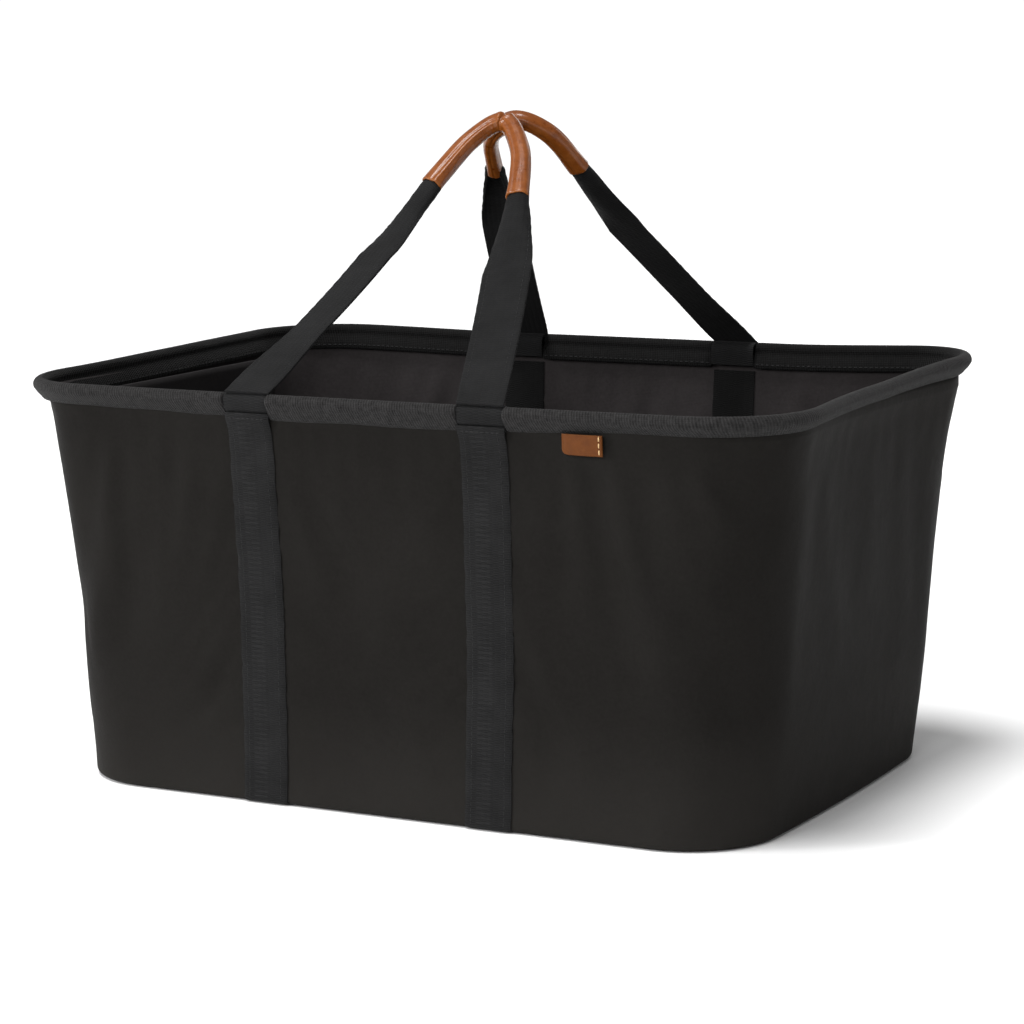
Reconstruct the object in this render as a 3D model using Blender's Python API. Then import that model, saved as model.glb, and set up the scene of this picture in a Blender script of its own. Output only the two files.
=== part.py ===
"""Foldable tote bag: soft walls on a flat base, a wire rim, two swing-up end supports
and two carry handles.

Metres, +Z up, origin at the centre of the underside, front = -Y, right = +X.
"""
import math

import bmesh
import bpy
from mathutils import Vector

# ------------------------------------------------------------------ driving dimensions
# Each outline is a rounded rectangle: half length, half width, corner radius
RIM_Z = 0.2840                # top of the rim binding
RIM_HALF_X, RIM_HALF_Y, RIM_CORNER = 0.2990, 0.1960, 0.0850
END_BOW, SIDE_BOW = -0.0140, 0.0050   # outward bow of the ends and long sides at the rim
TOP_Z = 0.2540                # where the wall starts to flare out to the rim
TOP_HALF_X, TOP_HALF_Y, TOP_CORNER = 0.2810, 0.1890, 0.0700
BASE_Z = 0.0120               # where the wall turns under to the base
BASE_HALF_X, BASE_HALF_Y, BASE_CORNER = 0.2630, 0.1760, 0.0650
GAP = 0.0003                  # clearance between layers

WALL_LOW, WALL_HIGH = 0.0040, 0.2655
WALL_THICK = 0.0012
WALL_RIM_INSET = 0.0050       # wall's top edge inside the rim outline
WALL_TURN_UNDER = 0.0090      # inset the turned-under wall would reach at z = 0
WALL_LEVELS = (WALL_LOW, 0.0070, BASE_Z, 0.0700, 0.1300, 0.1900, TOP_Z, 0.2590, WALL_HIGH)
WALL_CORNER_STEPS, WALL_SIDE_STEPS = 6, 12

STRAP_X_TOP, STRAP_X_LOW = 0.0875, 0.0850     # strap centre lines at TOP_Z and BASE_Z
STRAP_WIDTH = 0.0340
STRAP_THICK, STRAP_TOP = 0.0016, 0.2695
INNER_STRAP_THICK, INNER_STRAP_TOP = 0.0012, 0.2590
INNER_STRAP_INSET = 0.0010    # how far each edge is in from the outer strap's

BIND_HALF = 0.0055            # half of the binding's outer width
BIND_THICK = 0.0014
BIND_LOW = 0.2665

WIRE_R = 0.0025
WIRE_Z = RIM_Z - BIND_HALF
WIRE_HALF_X = RIM_HALF_X - BIND_HALF
WIRE_HALF_Y = RIM_HALF_Y - BIND_HALF
WIRE_CORNER = RIM_CORNER - BIND_HALF

FACES = (("front", -1), ("back", 1))      # name, sign of y
ENDS = (("left", -1), ("right", 1))       # name, sign of x


# ------------------------------------------------------------------ scene and materials
for old in list(bpy.data.objects):
    bpy.data.objects.remove(old, do_unlink=True)

parts = bpy.data.collections.new("foldable_tote_bag")
cutters = bpy.data.collections.new("cutters")
for collection in (parts, cutters):
    bpy.context.scene.collection.children.link(collection)

# name: (base colour RGBA, roughness, metallic)
MATERIALS = {
    "shell_fabric": ((0.020, 0.019, 0.018, 1), 0.62, 0.0),
    "lining": ((0.015, 0.014, 0.014, 1), 0.8, 0.0),
    "webbing": ((0.030, 0.030, 0.030, 1), 0.75, 0.0),
    "binding": ((0.036, 0.036, 0.036, 1), 0.8, 0.0),
    "leather": ((0.30, 0.10, 0.03, 1), 0.35, 0.0),
    "label": ((0.28, 0.11, 0.03, 1), 0.45, 0.0),
    "thread": ((0.60, 0.42, 0.22, 1), 0.7, 0.0),
    "steel": ((0.35, 0.35, 0.36, 1), 0.35, 1.0),
    "board": ((0.10, 0.10, 0.10, 1), 0.6, 0.0),
}


def material(name):
    """The named material, made on first use."""
    mat = bpy.data.materials.get(name)
    if mat is None:
        colour, roughness, metallic = MATERIALS[name]
        mat = bpy.data.materials.new(name)
        mat.use_nodes = True
        shader = mat.node_tree.nodes["Principled BSDF"]
        shader.inputs["Base Color"].default_value = colour
        shader.inputs["Roughness"].default_value = roughness
        shader.inputs["Metallic"].default_value = metallic
        mat.diffuse_color = colour
    return mat


# ------------------------------------------------------------------ objects
def add(name, bm, mat, parent=None, tilt=0.0, collection=parts):
    """Turn a bmesh into an object at its parent's origin, turned by tilt about Y."""
    bmesh.ops.recalc_face_normals(bm, faces=bm.faces)
    mesh = bpy.data.meshes.new(name)
    bm.to_mesh(mesh)
    bm.free()
    mesh.materials.append(material(mat))
    ob = bpy.data.objects.new(name, mesh)
    collection.objects.link(ob)
    ob.rotation_euler = (0, tilt, 0)
    ob.parent = parent
    return ob


def add_empty(name, location, turn=0.0, parent=None):
    """An empty turned about Z, used as a frame or hinge."""
    ob = bpy.data.objects.new(name, None)
    parts.objects.link(ob)
    ob.location = location
    ob.rotation_euler = (0, 0, turn)
    ob.parent = parent
    return ob


def end_hinge(name, sign, x, z, parent=None):
    """Hinge along Y at one end, turned so that local +X points into the bag."""
    return add_empty(name, (sign * x, 0, z), 0.0 if sign < 0 else math.pi, parent)


# ------------------------------------------------------------------ curves and outlines
def lerp(a, b, t):
    return a + (b - a) * t


def smoothstep(t):
    t = min(1.0, max(0.0, t))
    return t * t * (3 - 2 * t)


def arc(cx, cy, radius, start, sweep, steps):
    """Points on an arc, both ends included; start and sweep are in degrees."""
    angles = [math.radians(start + sweep * k / steps) for k in range(steps + 1)]
    return [(cx + radius * math.cos(a), cy + radius * math.sin(a)) for a in angles]


def oval(half_u, half_v, count):
    angles = [2 * math.pi * k / count for k in range(count)]
    return [(half_u * math.cos(a), half_v * math.sin(a)) for a in angles]


def tangents(path, closed=False):
    """Unit 2-D tangent at each point of a path."""
    count = len(path)
    result = []
    for i in range(count):
        before = path[i - 1] if closed or i > 0 else path[0]
        after = path[(i + 1) % count] if closed or i < count - 1 else path[-1]
        result.append(Vector((after[0] - before[0], after[1] - before[1])).normalized())
    return result


def outline(half_x, half_y, radius, end_bow, side_bow, corner_steps, side_steps, end_steps):
    """Closed rounded rectangle with bowed sides, counter-clockwise from the right end's
    front corner.  Order: corner, right end, corner, back, corner, left end, corner, front."""
    cx, cy = half_x - radius, half_y - radius
    corners = [arc(x, y, radius, start, 90.0, corner_steps)
               for x, y, start in ((cx, -cy, -90.0), (cx, cy, 0.0),
                                   (-cx, cy, 90.0), (-cx, -cy, 180.0))]
    points = []
    for i, corner in enumerate(corners):
        points += corner
        (x0, y0), (x1, y1) = corner[-1], corners[(i + 1) % 4][0]
        steps = end_steps if i % 2 == 0 else side_steps
        points += [(lerp(x0, x1, k / steps), lerp(y0, y1, k / steps)) for k in range(1, steps)]
    bowed = []
    for x, y in points:
        bow_x = end_bow * max(0.0, 1 - (y / half_y) ** 2) * min(1.0, (abs(x) / half_x) ** 2)
        bow_y = side_bow * max(0.0, 1 - (x / half_x) ** 2) * min(1.0, (abs(y) / half_y) ** 2)
        bowed.append((x + math.copysign(bow_x, x * bow_x), y + math.copysign(bow_y, y * bow_y)))
    return bowed


def wall_shape(z, offset=0.0):
    """First five arguments of outline() for the wall's outer face at height z,
    moved out by offset."""
    if z >= TOP_Z:
        t = smoothstep((z - TOP_Z) / (WALL_HIGH - TOP_Z))
        half_x = lerp(TOP_HALF_X, RIM_HALF_X - WALL_RIM_INSET, t)
        half_y = lerp(TOP_HALF_Y, RIM_HALF_Y - WALL_RIM_INSET, t)
        radius = lerp(TOP_CORNER, RIM_CORNER - WALL_RIM_INSET, t)
        bow = 1.0
    elif z >= BASE_Z:
        bow = (z - BASE_Z) / (TOP_Z - BASE_Z)
        half_x = lerp(BASE_HALF_X, TOP_HALF_X, bow)
        half_y = lerp(BASE_HALF_Y, TOP_HALF_Y, bow)
        radius = lerp(BASE_CORNER, TOP_CORNER, bow)
    else:
        inset = WALL_TURN_UNDER * ((BASE_Z - z) / BASE_Z) ** 2
        half_x, half_y, radius = BASE_HALF_X - inset, BASE_HALF_Y - inset, BASE_CORNER - inset
        bow = 0.0
    return half_x + offset, half_y + offset, radius + offset, END_BOW * bow, SIDE_BOW * bow


def wall_y(x, z, offset):
    """Distance of the long wall's outer face from the XZ plane, plus offset."""
    half_x, half_y, _, _, side_bow = wall_shape(z, offset)
    return half_y + side_bow * (1 - (x / half_x) ** 2)


def rim_y(x):
    """Distance of the rim wire's long side from the XZ plane."""
    return WIRE_HALF_Y + SIDE_BOW * (1 - (x / WIRE_HALF_X) ** 2)


# ------------------------------------------------------------------ solids
def bridge(bm, rings, close_path=False):
    """Side faces between successive closed rings of vertices."""
    following = rings[1:] + rings[:1] if close_path else rings[1:]
    for a, b in zip(rings, following):
        count = len(a)
        for j in range(count):
            k = (j + 1) % count
            bm.faces.new((a[j], a[k], b[k], b[j]))


def loft(sections, closed_path=False):
    """Solid through a list of closed sections, each a list of 3-D points."""
    bm = bmesh.new()
    rings = [[bm.verts.new(p) for p in section] for section in sections]
    bridge(bm, rings, closed_path)
    if not closed_path:
        bm.faces.new(rings[0])
        bm.faces.new(rings[-1])
    return bm


def sleeve(outer, inner):
    """Open-ended tube through matching outer and inner sections."""
    bm = bmesh.new()
    outer_rings = [[bm.verts.new(p) for p in section] for section in outer]
    inner_rings = [[bm.verts.new(p) for p in section] for section in inner]
    bridge(bm, outer_rings)
    bridge(bm, inner_rings)
    for end in (0, -1):
        bridge(bm, [outer_rings[end], inner_rings[end]])
    return bm


def slab(points, depth):
    """A flat outline of 3-D points pushed along the vector depth."""
    bm = bmesh.new()
    face = bm.faces.new([bm.verts.new(p) for p in points])
    extruded = bmesh.ops.extrude_face_region(bm, geom=[face])["geom"]
    verts = [item for item in extruded if isinstance(item, bmesh.types.BMVert)]
    bmesh.ops.translate(bm, verts=verts, vec=Vector(depth))
    return bm


def box(x_range, y_range, z_range):
    (x0, x1), (y0, y1), (z0, z1) = x_range, y_range, z_range
    return slab([(x0, y0, z0), (x1, y0, z0), (x1, y1, z0), (x0, y1, z0)], (0, 0, z1 - z0))


def sweep_level(path, profile, closed=False):
    """Sweep an (outward, z) profile along a level, counter-clockwise path."""
    return loft([[(x + t.y * out, y - t.x * out, z) for out, z in profile]
                 for (x, y), t in zip(path, tangents(path, closed))], closed)


# ------------------------------------------------------------------ base
BASE_STRAP_HALF_LENGTH = 0.1690
BASE_STRAP_THICK = 0.0015


def base_plate(name, mat, inset, z_low, z_high):
    points = outline(BASE_HALF_X - inset, BASE_HALF_Y - inset, BASE_CORNER - inset, 0, 0,
                     corner_steps=6, side_steps=2, end_steps=2)
    add(name, slab([(x, y, z_low) for x, y in points], (0, 0, z_high - z_low)), mat)


def base_strap(side, sign):
    x = sign * STRAP_X_LOW
    add(side + "_base_strap",
        box((x - STRAP_WIDTH / 2, x + STRAP_WIDTH / 2),
            (-BASE_STRAP_HALF_LENGTH, BASE_STRAP_HALF_LENGTH), (0, BASE_STRAP_THICK)), "webbing")


# ------------------------------------------------------------------ front and back walls
def wall_row(z, offset, sign):
    """The long side with its two rounded corners, at one height."""
    points = outline(*wall_shape(z, offset), corner_steps=WALL_CORNER_STEPS,
                     side_steps=WALL_SIDE_STEPS, end_steps=2)
    # front-left corner and front close the outline; its front-right corner opens it
    row = points[-(WALL_SIDE_STEPS + WALL_CORNER_STEPS):] + points[:WALL_CORNER_STEPS + 1]
    return [(x, -sign * y, z) for x, y in row]


def long_wall(face, sign):
    rows = [wall_row(z, 0.0, sign) for z in WALL_LEVELS]
    rows += [wall_row(z, -WALL_THICK, sign) for z in reversed(WALL_LEVELS)]
    add(face + "_wall", loft(list(zip(*rows))), "shell_fabric")


def wall_strap(name, x_sign, y_sign, z_low, z_high, offset, thick, half_width, mat):
    """Strap following the wall, its near face at offset from the wall's outer face."""
    levels = [z_low] + [z for z in WALL_LEVELS if z_low < z < z_high] + [z_high]
    sections = []
    for edge in (-1, -0.34, 0.34, 1):     # lines across the strap, in half widths
        outer, inner = [], []
        for z in levels:
            t = min(1.0, max(0.0, (z - BASE_Z) / (TOP_Z - BASE_Z)))
            x = x_sign * lerp(STRAP_X_LOW, STRAP_X_TOP, t) + edge * half_width
            outer.append((x, y_sign * wall_y(x, z, offset + thick), z))
            inner.append((x, y_sign * wall_y(x, z, offset), z))
        sections.append(outer + inner[::-1])
    add(name, loft(sections), mat)


def wall_straps(face, y_sign, side, x_sign):
    """The outer webbing strap and the lining strap inside the wall behind it."""
    wall_strap("%s_%s_wall_strap" % (face, side), x_sign, y_sign, WALL_LOW, STRAP_TOP,
               offset=GAP, thick=STRAP_THICK, half_width=STRAP_WIDTH / 2, mat="webbing")
    wall_strap("%s_%s_inner_strap" % (face, side), x_sign, y_sign, BASE_Z, INNER_STRAP_TOP,
               offset=-WALL_THICK - GAP - INNER_STRAP_THICK, thick=INNER_STRAP_THICK,
               half_width=STRAP_WIDTH / 2 - INNER_STRAP_INSET, mat="lining")


# ------------------------------------------------------------------ folding end walls
END_LOW_X, END_LOW_Z = 0.2635, 0.0120         # lower hinge
END_TOP_X, END_TOP_Z = 0.2735, 0.2620         # top edge of the upper panel
END_HALF_WIDTH = 0.1060
END_THICK = 0.0012
END_EDGE_GAP = 0.0006                         # panel edge to hinge line

END_RUN, END_RISE = END_TOP_X - END_LOW_X, END_TOP_Z - END_LOW_Z
END_LEAN = math.atan2(END_RUN, END_RISE)
END_LENGTH = math.hypot(END_RUN, END_RISE)
# The panels' lengths differ by the run, so that both can fold level
END_LOWER_LENGTH = (END_LENGTH - END_RUN) / 2
END_UPPER_LENGTH = (END_LENGTH + END_RUN) / 2
CREASE_X = END_LOW_X + END_LOWER_LENGTH * math.sin(END_LEAN)
CREASE_Z = END_LOW_Z + END_LOWER_LENGTH * math.cos(END_LEAN)


def end_wall_panel(side, sign, level, x, z, length):
    """Panel standing up from its hinge, leaning outward."""
    hinge = end_hinge("%s_end_%s_hinge" % (side, level), sign, x, z)
    panel = box((0, END_THICK), (-END_HALF_WIDTH, END_HALF_WIDTH),
                (END_EDGE_GAP, length - END_EDGE_GAP))
    add("%s_end_wall_%s" % (side, level), panel, "shell_fabric", hinge, tilt=-END_LEAN)


# ------------------------------------------------------------------ rim
WINDOW_HALF = STRAP_WIDTH / 2 + 0.0005        # gap in the binding at each handle loop
LOOP_INNER_R, LOOP_OUTER_R = 0.0032, 0.0049
LOOP_EDGE_INSET = 0.0003                      # loop narrower than the strap at each edge
RIM_CORNER_STEPS, RIM_END_STEPS = 8, 6


def rim_outline(side_steps):
    return outline(WIRE_HALF_X, WIRE_HALF_Y, WIRE_CORNER, END_BOW, SIDE_BOW,
                   RIM_CORNER_STEPS, side_steps, RIM_END_STEPS)


def rim_wire(rim_frame):
    profile = [(u, WIRE_Z + v) for u, v in oval(WIRE_R, WIRE_R, 8)]
    add("rim_wire", sweep_level(rim_outline(10), profile, closed=True), "steel", rim_frame)


def binding_profile():
    """Upside-down U over the wire, as (outward, z)."""
    inner = BIND_HALF - BIND_THICK
    return ([(BIND_HALF, BIND_LOW)] + arc(0, WIRE_Z, BIND_HALF, 0.0, 180.0, 6)
            + [(-BIND_HALF, BIND_LOW), (-inner, BIND_LOW)]
            + arc(0, WIRE_Z, inner, 0.0, 180.0, 6)[::-1] + [(inner, BIND_LOW)])


def long_binding_path():
    """Front side of the rim between its two windows, left to right."""
    x_end = STRAP_X_TOP - WINDOW_HALF
    xs = [lerp(-x_end, x_end, k / 4) for k in range(5)]
    return [(x, -rim_y(x)) for x in xs]


def end_binding_path():
    """Right end of the rim, from the front window round to the back window."""
    x_start, x_corner = STRAP_X_TOP + WINDOW_HALF, WIRE_HALF_X - WIRE_CORNER
    xs = [lerp(x_start, x_corner, k / 3) for k in range(3)]
    round_end = rim_outline(2)[:2 * (RIM_CORNER_STEPS + 1) + RIM_END_STEPS - 1]
    return [(x, -rim_y(x)) for x in xs] + round_end + [(x, rim_y(x)) for x in reversed(xs)]


def bindings(rim_frame):
    """Four binding strips; the back and left ones are half-turn copies."""
    for name, opposite, path in (("front", "back", long_binding_path()),
                                 ("right", "left", end_binding_path())):
        turned = [(-x, -y) for x, y in path]
        for side, points in ((name, path), (opposite, turned)):
            add(side + "_binding", sweep_level(points, binding_profile()), "binding", rim_frame)


def handle_loop(face, y_sign, side, x_sign, rim_frame):
    """Webbing sleeve round the rim wire in a binding window."""
    outer, inner = [], []
    for edge in (-1, 0, 1):
        x = x_sign * STRAP_X_TOP + edge * (STRAP_WIDTH / 2 - LOOP_EDGE_INSET)
        y = y_sign * rim_y(x)
        for sections, radius in ((outer, LOOP_OUTER_R), (inner, LOOP_INNER_R)):
            sections.append([(x, y + u, WIRE_Z + v) for u, v in oval(radius, radius, 12)])
    add("%s_%s_handle_loop" % (face, side), sleeve(outer, inner), "webbing", rim_frame)


# ------------------------------------------------------------------ label
LABEL_LEFT, LABEL_RIGHT = 0.1415, 0.1695
LABEL_LOW, LABEL_HIGH = 0.2540, 0.2661
LABEL_BACK_Y = -(RIM_HALF_Y + SIDE_BOW * 0.7 - 0.0030)
LABEL_THICK = 0.0014
LABEL_CORNER = 0.0040
STITCH_X = LABEL_RIGHT - 0.0016
STITCH_HALF_WIDTH, STITCH_THICK = 0.0005, 0.0005
STITCH_LOW, STITCH_HIGH = LABEL_LOW + 0.0010, LABEL_HIGH - 0.0005


def label(rim_frame):
    """Label below the front binding, lower left corner cut, with a line of thread."""
    nick = 0.3 * LABEL_CORNER         # middle point of the cut corner
    points = [(LABEL_LEFT, LABEL_HIGH), (LABEL_LEFT, LABEL_LOW + LABEL_CORNER),
              (LABEL_LEFT + nick, LABEL_LOW + nick), (LABEL_LEFT + LABEL_CORNER, LABEL_LOW),
              (LABEL_RIGHT, LABEL_LOW), (LABEL_RIGHT, LABEL_HIGH)]
    add("label", slab([(x, LABEL_BACK_Y, z) for x, z in points], (0, -LABEL_THICK, 0)),
        "label", rim_frame)
    y = LABEL_BACK_Y - LABEL_THICK - GAP
    stitch = box((STITCH_X - STITCH_HALF_WIDTH, STITCH_X + STITCH_HALF_WIDTH),
                 (y - STITCH_THICK, y), (STITCH_LOW, STITCH_HIGH))
    add("label_stitch", stitch, "thread", rim_frame)


# ------------------------------------------------------------------ handles
HANDLE_AXIS_Y, HANDLE_AXIS_Z = 0.2010, 0.2828
APEX_Y, APEX_Z = 0.0105, 0.4525
HANDLE_RUN, HANDLE_RISE = HANDLE_AXIS_Y - APEX_Y, APEX_Z - HANDLE_AXIS_Z
HANDLE_LENGTH = math.hypot(HANDLE_RUN, HANDLE_RISE)
GRIP_HALF = (0.0080, 0.0055)          # leather grip's half axes
BORE_HALF = (0.0066, 0.0043)          # its bore's half axes
GRIP_SIDES = 14
# Webbing section inside the grip and spread flat: half width, half thickness, chamfer
WEB_GATHERED = (0.0052, 0.0026, 0.0010)
WEB_FLAT = (STRAP_WIDTH / 2, 0.0010, 0.0004)
SPREAD_STEPS = 4                      # steps over which the webbing spreads out
HANDLE_STEPS = 56
CURVE_STEPS = 8                       # spline steps between control points

# Control points: (x, share of the way from the hinge to the apex)
ARCHES = {
    "front": ((-0.0875, 0.008), (-0.0520, 0.390), (-0.0238, 0.770), (-0.0115, 0.930),
              (0.0060, 1.000), (0.0265, 0.930), (0.0455, 0.748), (0.0680, 0.390),
              (0.0875, 0.008)),
    "back": ((-0.0875, 0.008), (-0.0605, 0.380), (-0.0335, 0.758), (-0.0195, 0.925),
             (0.0055, 1.000), (0.0265, 0.935), (0.0400, 0.795), (0.0620, 0.400),
             (0.0875, 0.008)),
}
GRIP_FIRST, GRIP_LAST = 2, 6          # control points at the grip's ends


def catmull_rom(control):
    """Spline through the control points, its end points doubled."""
    padded = [control[0], *control, control[-1]]
    points = []
    for p0, p1, p2, p3 in zip(padded, padded[1:], padded[2:], padded[3:]):
        for k in range(CURVE_STEPS):
            t = k / CURVE_STEPS
            points.append(tuple(
                0.5 * (2 * b + (c - a) * t + (2 * a - 5 * b + 4 * c - d) * t * t
                       + (3 * b - a - 3 * c + d) * t ** 3)
                for a, b, c, d in zip(p0, p1, p2, p3)))
    points.append(control[-1])
    return points


def resample(points, count):
    """Count points evenly spaced along a polyline."""
    reach = [0.0]
    for a, b in zip(points, points[1:]):
        reach.append(reach[-1] + math.dist(a, b))
    result = []
    for k in range(count):
        distance = reach[-1] * k / (count - 1)
        # the tolerance absorbs rounding where a sample falls on a point
        i = max(j for j in range(len(reach) - 1) if reach[j] <= distance + 1e-12)
        t = (distance - reach[i]) / (reach[i + 1] - reach[i])
        result.append(tuple(lerp(a, b, t) for a, b in zip(points[i], points[i + 1])))
    return result


def chamfered(half_w, half_t, cut):
    """Rectangle with cut corners, counter-clockwise."""
    w, t = half_w - cut, half_t - cut
    return [(w, -half_t), (half_w, -t), (half_w, t), (w, half_t),
            (-w, half_t), (-half_w, t), (-half_w, -t), (-w, -half_t)]


def handle(face, sign, rim_frame):
    """Webbing arch in a plane leaning inward from its hinge, with a grip round its top."""
    x_axis = Vector((1, 0, 0))
    rise_axis = Vector((0, -sign * HANDLE_RUN, HANDLE_RISE)).normalized()
    normal = x_axis.cross(rise_axis)
    control = [(x, share * HANDLE_LENGTH) for x, share in ARCHES[face]]
    path = resample(catmull_rom(control), HANDLE_STEPS + 1)
    first, last = (min(range(len(path)), key=lambda i: math.dist(path[i], control[end]))
                   for end in (GRIP_FIRST, GRIP_LAST))
    directions = tangents(path)
    # both feet leave the hinge square to it
    directions[0], directions[-1] = Vector((0, 1)), Vector((0, -1))

    webbing, grip, bore = [], [], []
    for i, ((x, rise), direction) in enumerate(zip(path, directions)):
        centre = x_axis * x + rise_axis * rise
        across = normal.cross(x_axis * direction.x + rise_axis * direction.y)

        def section(profile):
            return [centre + across * u + normal * v for u, v in profile]

        beyond_grip = max(first - i, i - last, 0)
        spread = smoothstep((beyond_grip - 1) / SPREAD_STEPS)
        sizes = [lerp(a, b, spread) for a, b in zip(WEB_GATHERED, WEB_FLAT)]
        webbing.append(section(chamfered(*sizes)))
        if first <= i <= last:
            grip.append(section(oval(*GRIP_HALF, GRIP_SIDES)))
            bore.append(section(oval(*BORE_HALF, GRIP_SIDES)))
    hinge = add_empty(face + "_handle_hinge", (0, sign * HANDLE_AXIS_Y, HANDLE_AXIS_Z),
                      parent=rim_frame)
    add(face + "_handle_webbing", loft(webbing), "webbing", hinge)
    add(face + "_grip", sleeve(grip, bore), "leather", hinge)


# ------------------------------------------------------------------ end supports
# Local frame: the support hangs from its hinge along -Z, inside face at +X
SUP_X, SUP_Z = 0.2675, 0.2720         # hinge
SUP_TILT = math.radians(3.2)          # lower edge swung inward
SUP_LENGTH = 0.2580
SUP_HALF_WIDTH = 0.1080
SUP_THICK = 0.0064
SUP_SKIN = 0.0010
SUP_TOP = -0.0045                     # cover's top edge
SUP_CORE_TOP = SUP_TOP - 0.0040       # top of the wire and board
CAVITY_OVERCUT = 0.0100               # cutter's reach past the cover's open top
SUP_CORNER = 0.0220
SUP_WIRE_R = 0.0018
SUP_WIRE_CORNER = 0.0200 - SUP_WIRE_R
SUP_WIRE_INSET = SUP_SKIN + 0.0004 + SUP_WIRE_R
SUP_BOARD_THICK = 0.0030
SUP_BOARD_CORNER = 0.0165
SUP_BOARD_INSET = SUP_WIRE_INSET + SUP_WIRE_R + 0.0006
TAB_LOW, TAB_HIGH = -0.2460, -0.1760
TAB_THICK = 0.0014


def support_outline(inset, top, corner):
    """U-shaped outline as (y, z), with rounded lower corners."""
    half, bottom = SUP_HALF_WIDTH - inset, inset - SUP_LENGTH
    return [(-half, top), *arc(-half + corner, bottom + corner, corner, 180.0, 90.0, 5),
            *arc(half - corner, bottom + corner, corner, 270.0, 90.0, 5), (half, top)]


def support_slab(thick, inset, top, corner):
    points = support_outline(inset, top, corner)
    return slab([(-thick / 2, y, z) for y, z in points], (thick, 0, 0))


def support_cover(side, place):
    """Cover hollowed out from its open top."""
    cover = add(side + "_support_cover", support_slab(SUP_THICK, 0.0, SUP_TOP, SUP_CORNER),
                "lining", **place)
    cavity = support_slab(SUP_THICK - 2 * SUP_SKIN, SUP_SKIN, SUP_TOP + CAVITY_OVERCUT,
                          SUP_CORNER - SUP_SKIN)
    cutter = add(side + "_cover_cavity", cavity, "lining", collection=cutters, **place)
    cutter.hide_render = True
    cutter.display_type = 'WIRE'
    boolean = cover.modifiers.new("cavity", 'BOOLEAN')
    boolean.operation = 'DIFFERENCE'
    boolean.solver = 'EXACT'
    boolean.object = cutter


def support_wire(side, place):
    """Wire U round the board."""
    path = support_outline(SUP_WIRE_INSET, SUP_CORE_TOP, SUP_WIRE_CORNER)
    ring = oval(SUP_WIRE_R, SUP_WIRE_R, 8)
    sections = [[(v, y + t.y * u, z - t.x * u) for u, v in ring]
                for (y, z), t in zip(path, tangents(path))]
    add(side + "_support_wire", loft(sections), "steel", **place)


def end_support(side, sign, rim_frame):
    hinge = end_hinge(side + "_support_hinge", sign, SUP_X, SUP_Z, rim_frame)
    place = {"parent": hinge, "tilt": -SUP_TILT}
    support_cover(side, place)
    support_wire(side, place)
    board = support_slab(SUP_BOARD_THICK, SUP_BOARD_INSET, SUP_CORE_TOP, SUP_BOARD_CORNER)
    add(side + "_support_board", board, "board", **place)
    tab_x = SUP_THICK / 2 + GAP
    tab = box((tab_x, tab_x + TAB_THICK), (-STRAP_WIDTH / 2, STRAP_WIDTH / 2),
              (TAB_LOW, TAB_HIGH))
    add(side + "_pull_tab", tab, "webbing", **place)


# ------------------------------------------------------------------ build
base_plate("bottom_panel", "shell_fabric", inset=0.0055, z_low=0.0018, z_high=0.0033)
base_plate("base_board", "board", inset=0.0085, z_low=0.0040, z_high=0.0070)
rim = add_empty("rim_frame", (0, 0, 0))
rim_wire(rim)
bindings(rim)
label(rim)

for face_name, face_sign in FACES:
    long_wall(face_name, face_sign)
    handle(face_name, face_sign, rim)
    for end_name, end_sign in ENDS:
        wall_straps(face_name, face_sign, end_name, end_sign)
        handle_loop(face_name, face_sign, end_name, end_sign, rim)

for end_name, end_sign in ENDS:
    base_strap(end_name, end_sign)
    end_wall_panel(end_name, end_sign, "lower", END_LOW_X, END_LOW_Z, END_LOWER_LENGTH)
    end_wall_panel(end_name, end_sign, "upper", CREASE_X, CREASE_Z, END_UPPER_LENGTH)
    end_support(end_name, end_sign, rim)

for ob in parts.objects:
    if ob.type == 'MESH':
        ob.data.shade_smooth()
        ob.data.set_sharp_from_angle(angle=math.radians(35))
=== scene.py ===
"""Foldable tote bag: a fabric tub with webbing bands, a taped wire rim, two rolled handles
with leather grips, a label, two folding end supports and a base insert.
Metres, +Z up, front = -Y, right = +X, origin at the centre of the underside."""
import math
from types import SimpleNamespace
import bmesh
import bpy
import numpy as np
from mathutils import Matrix, Vector, noise


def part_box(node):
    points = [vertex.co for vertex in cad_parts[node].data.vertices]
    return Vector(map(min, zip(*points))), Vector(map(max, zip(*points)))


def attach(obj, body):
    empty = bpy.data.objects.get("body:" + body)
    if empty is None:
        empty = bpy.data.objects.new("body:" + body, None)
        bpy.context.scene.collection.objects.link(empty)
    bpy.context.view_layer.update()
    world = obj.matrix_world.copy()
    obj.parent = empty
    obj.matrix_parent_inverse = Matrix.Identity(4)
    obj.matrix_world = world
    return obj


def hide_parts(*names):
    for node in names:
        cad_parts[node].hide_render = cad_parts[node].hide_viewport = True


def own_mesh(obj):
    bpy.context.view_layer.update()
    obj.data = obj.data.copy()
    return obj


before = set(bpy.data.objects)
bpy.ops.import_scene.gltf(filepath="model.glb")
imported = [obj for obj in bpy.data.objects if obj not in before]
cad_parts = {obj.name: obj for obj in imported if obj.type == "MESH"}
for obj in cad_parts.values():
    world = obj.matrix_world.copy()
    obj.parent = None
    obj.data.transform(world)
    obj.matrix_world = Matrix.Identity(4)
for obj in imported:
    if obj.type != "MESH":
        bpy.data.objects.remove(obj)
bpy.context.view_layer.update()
coll = bpy.context.scene.collection
TAU = 2 * math.pi


def centre_of(name, axis):
    low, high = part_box(name)
    return (low[axis] + high[axis]) / 2


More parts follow.
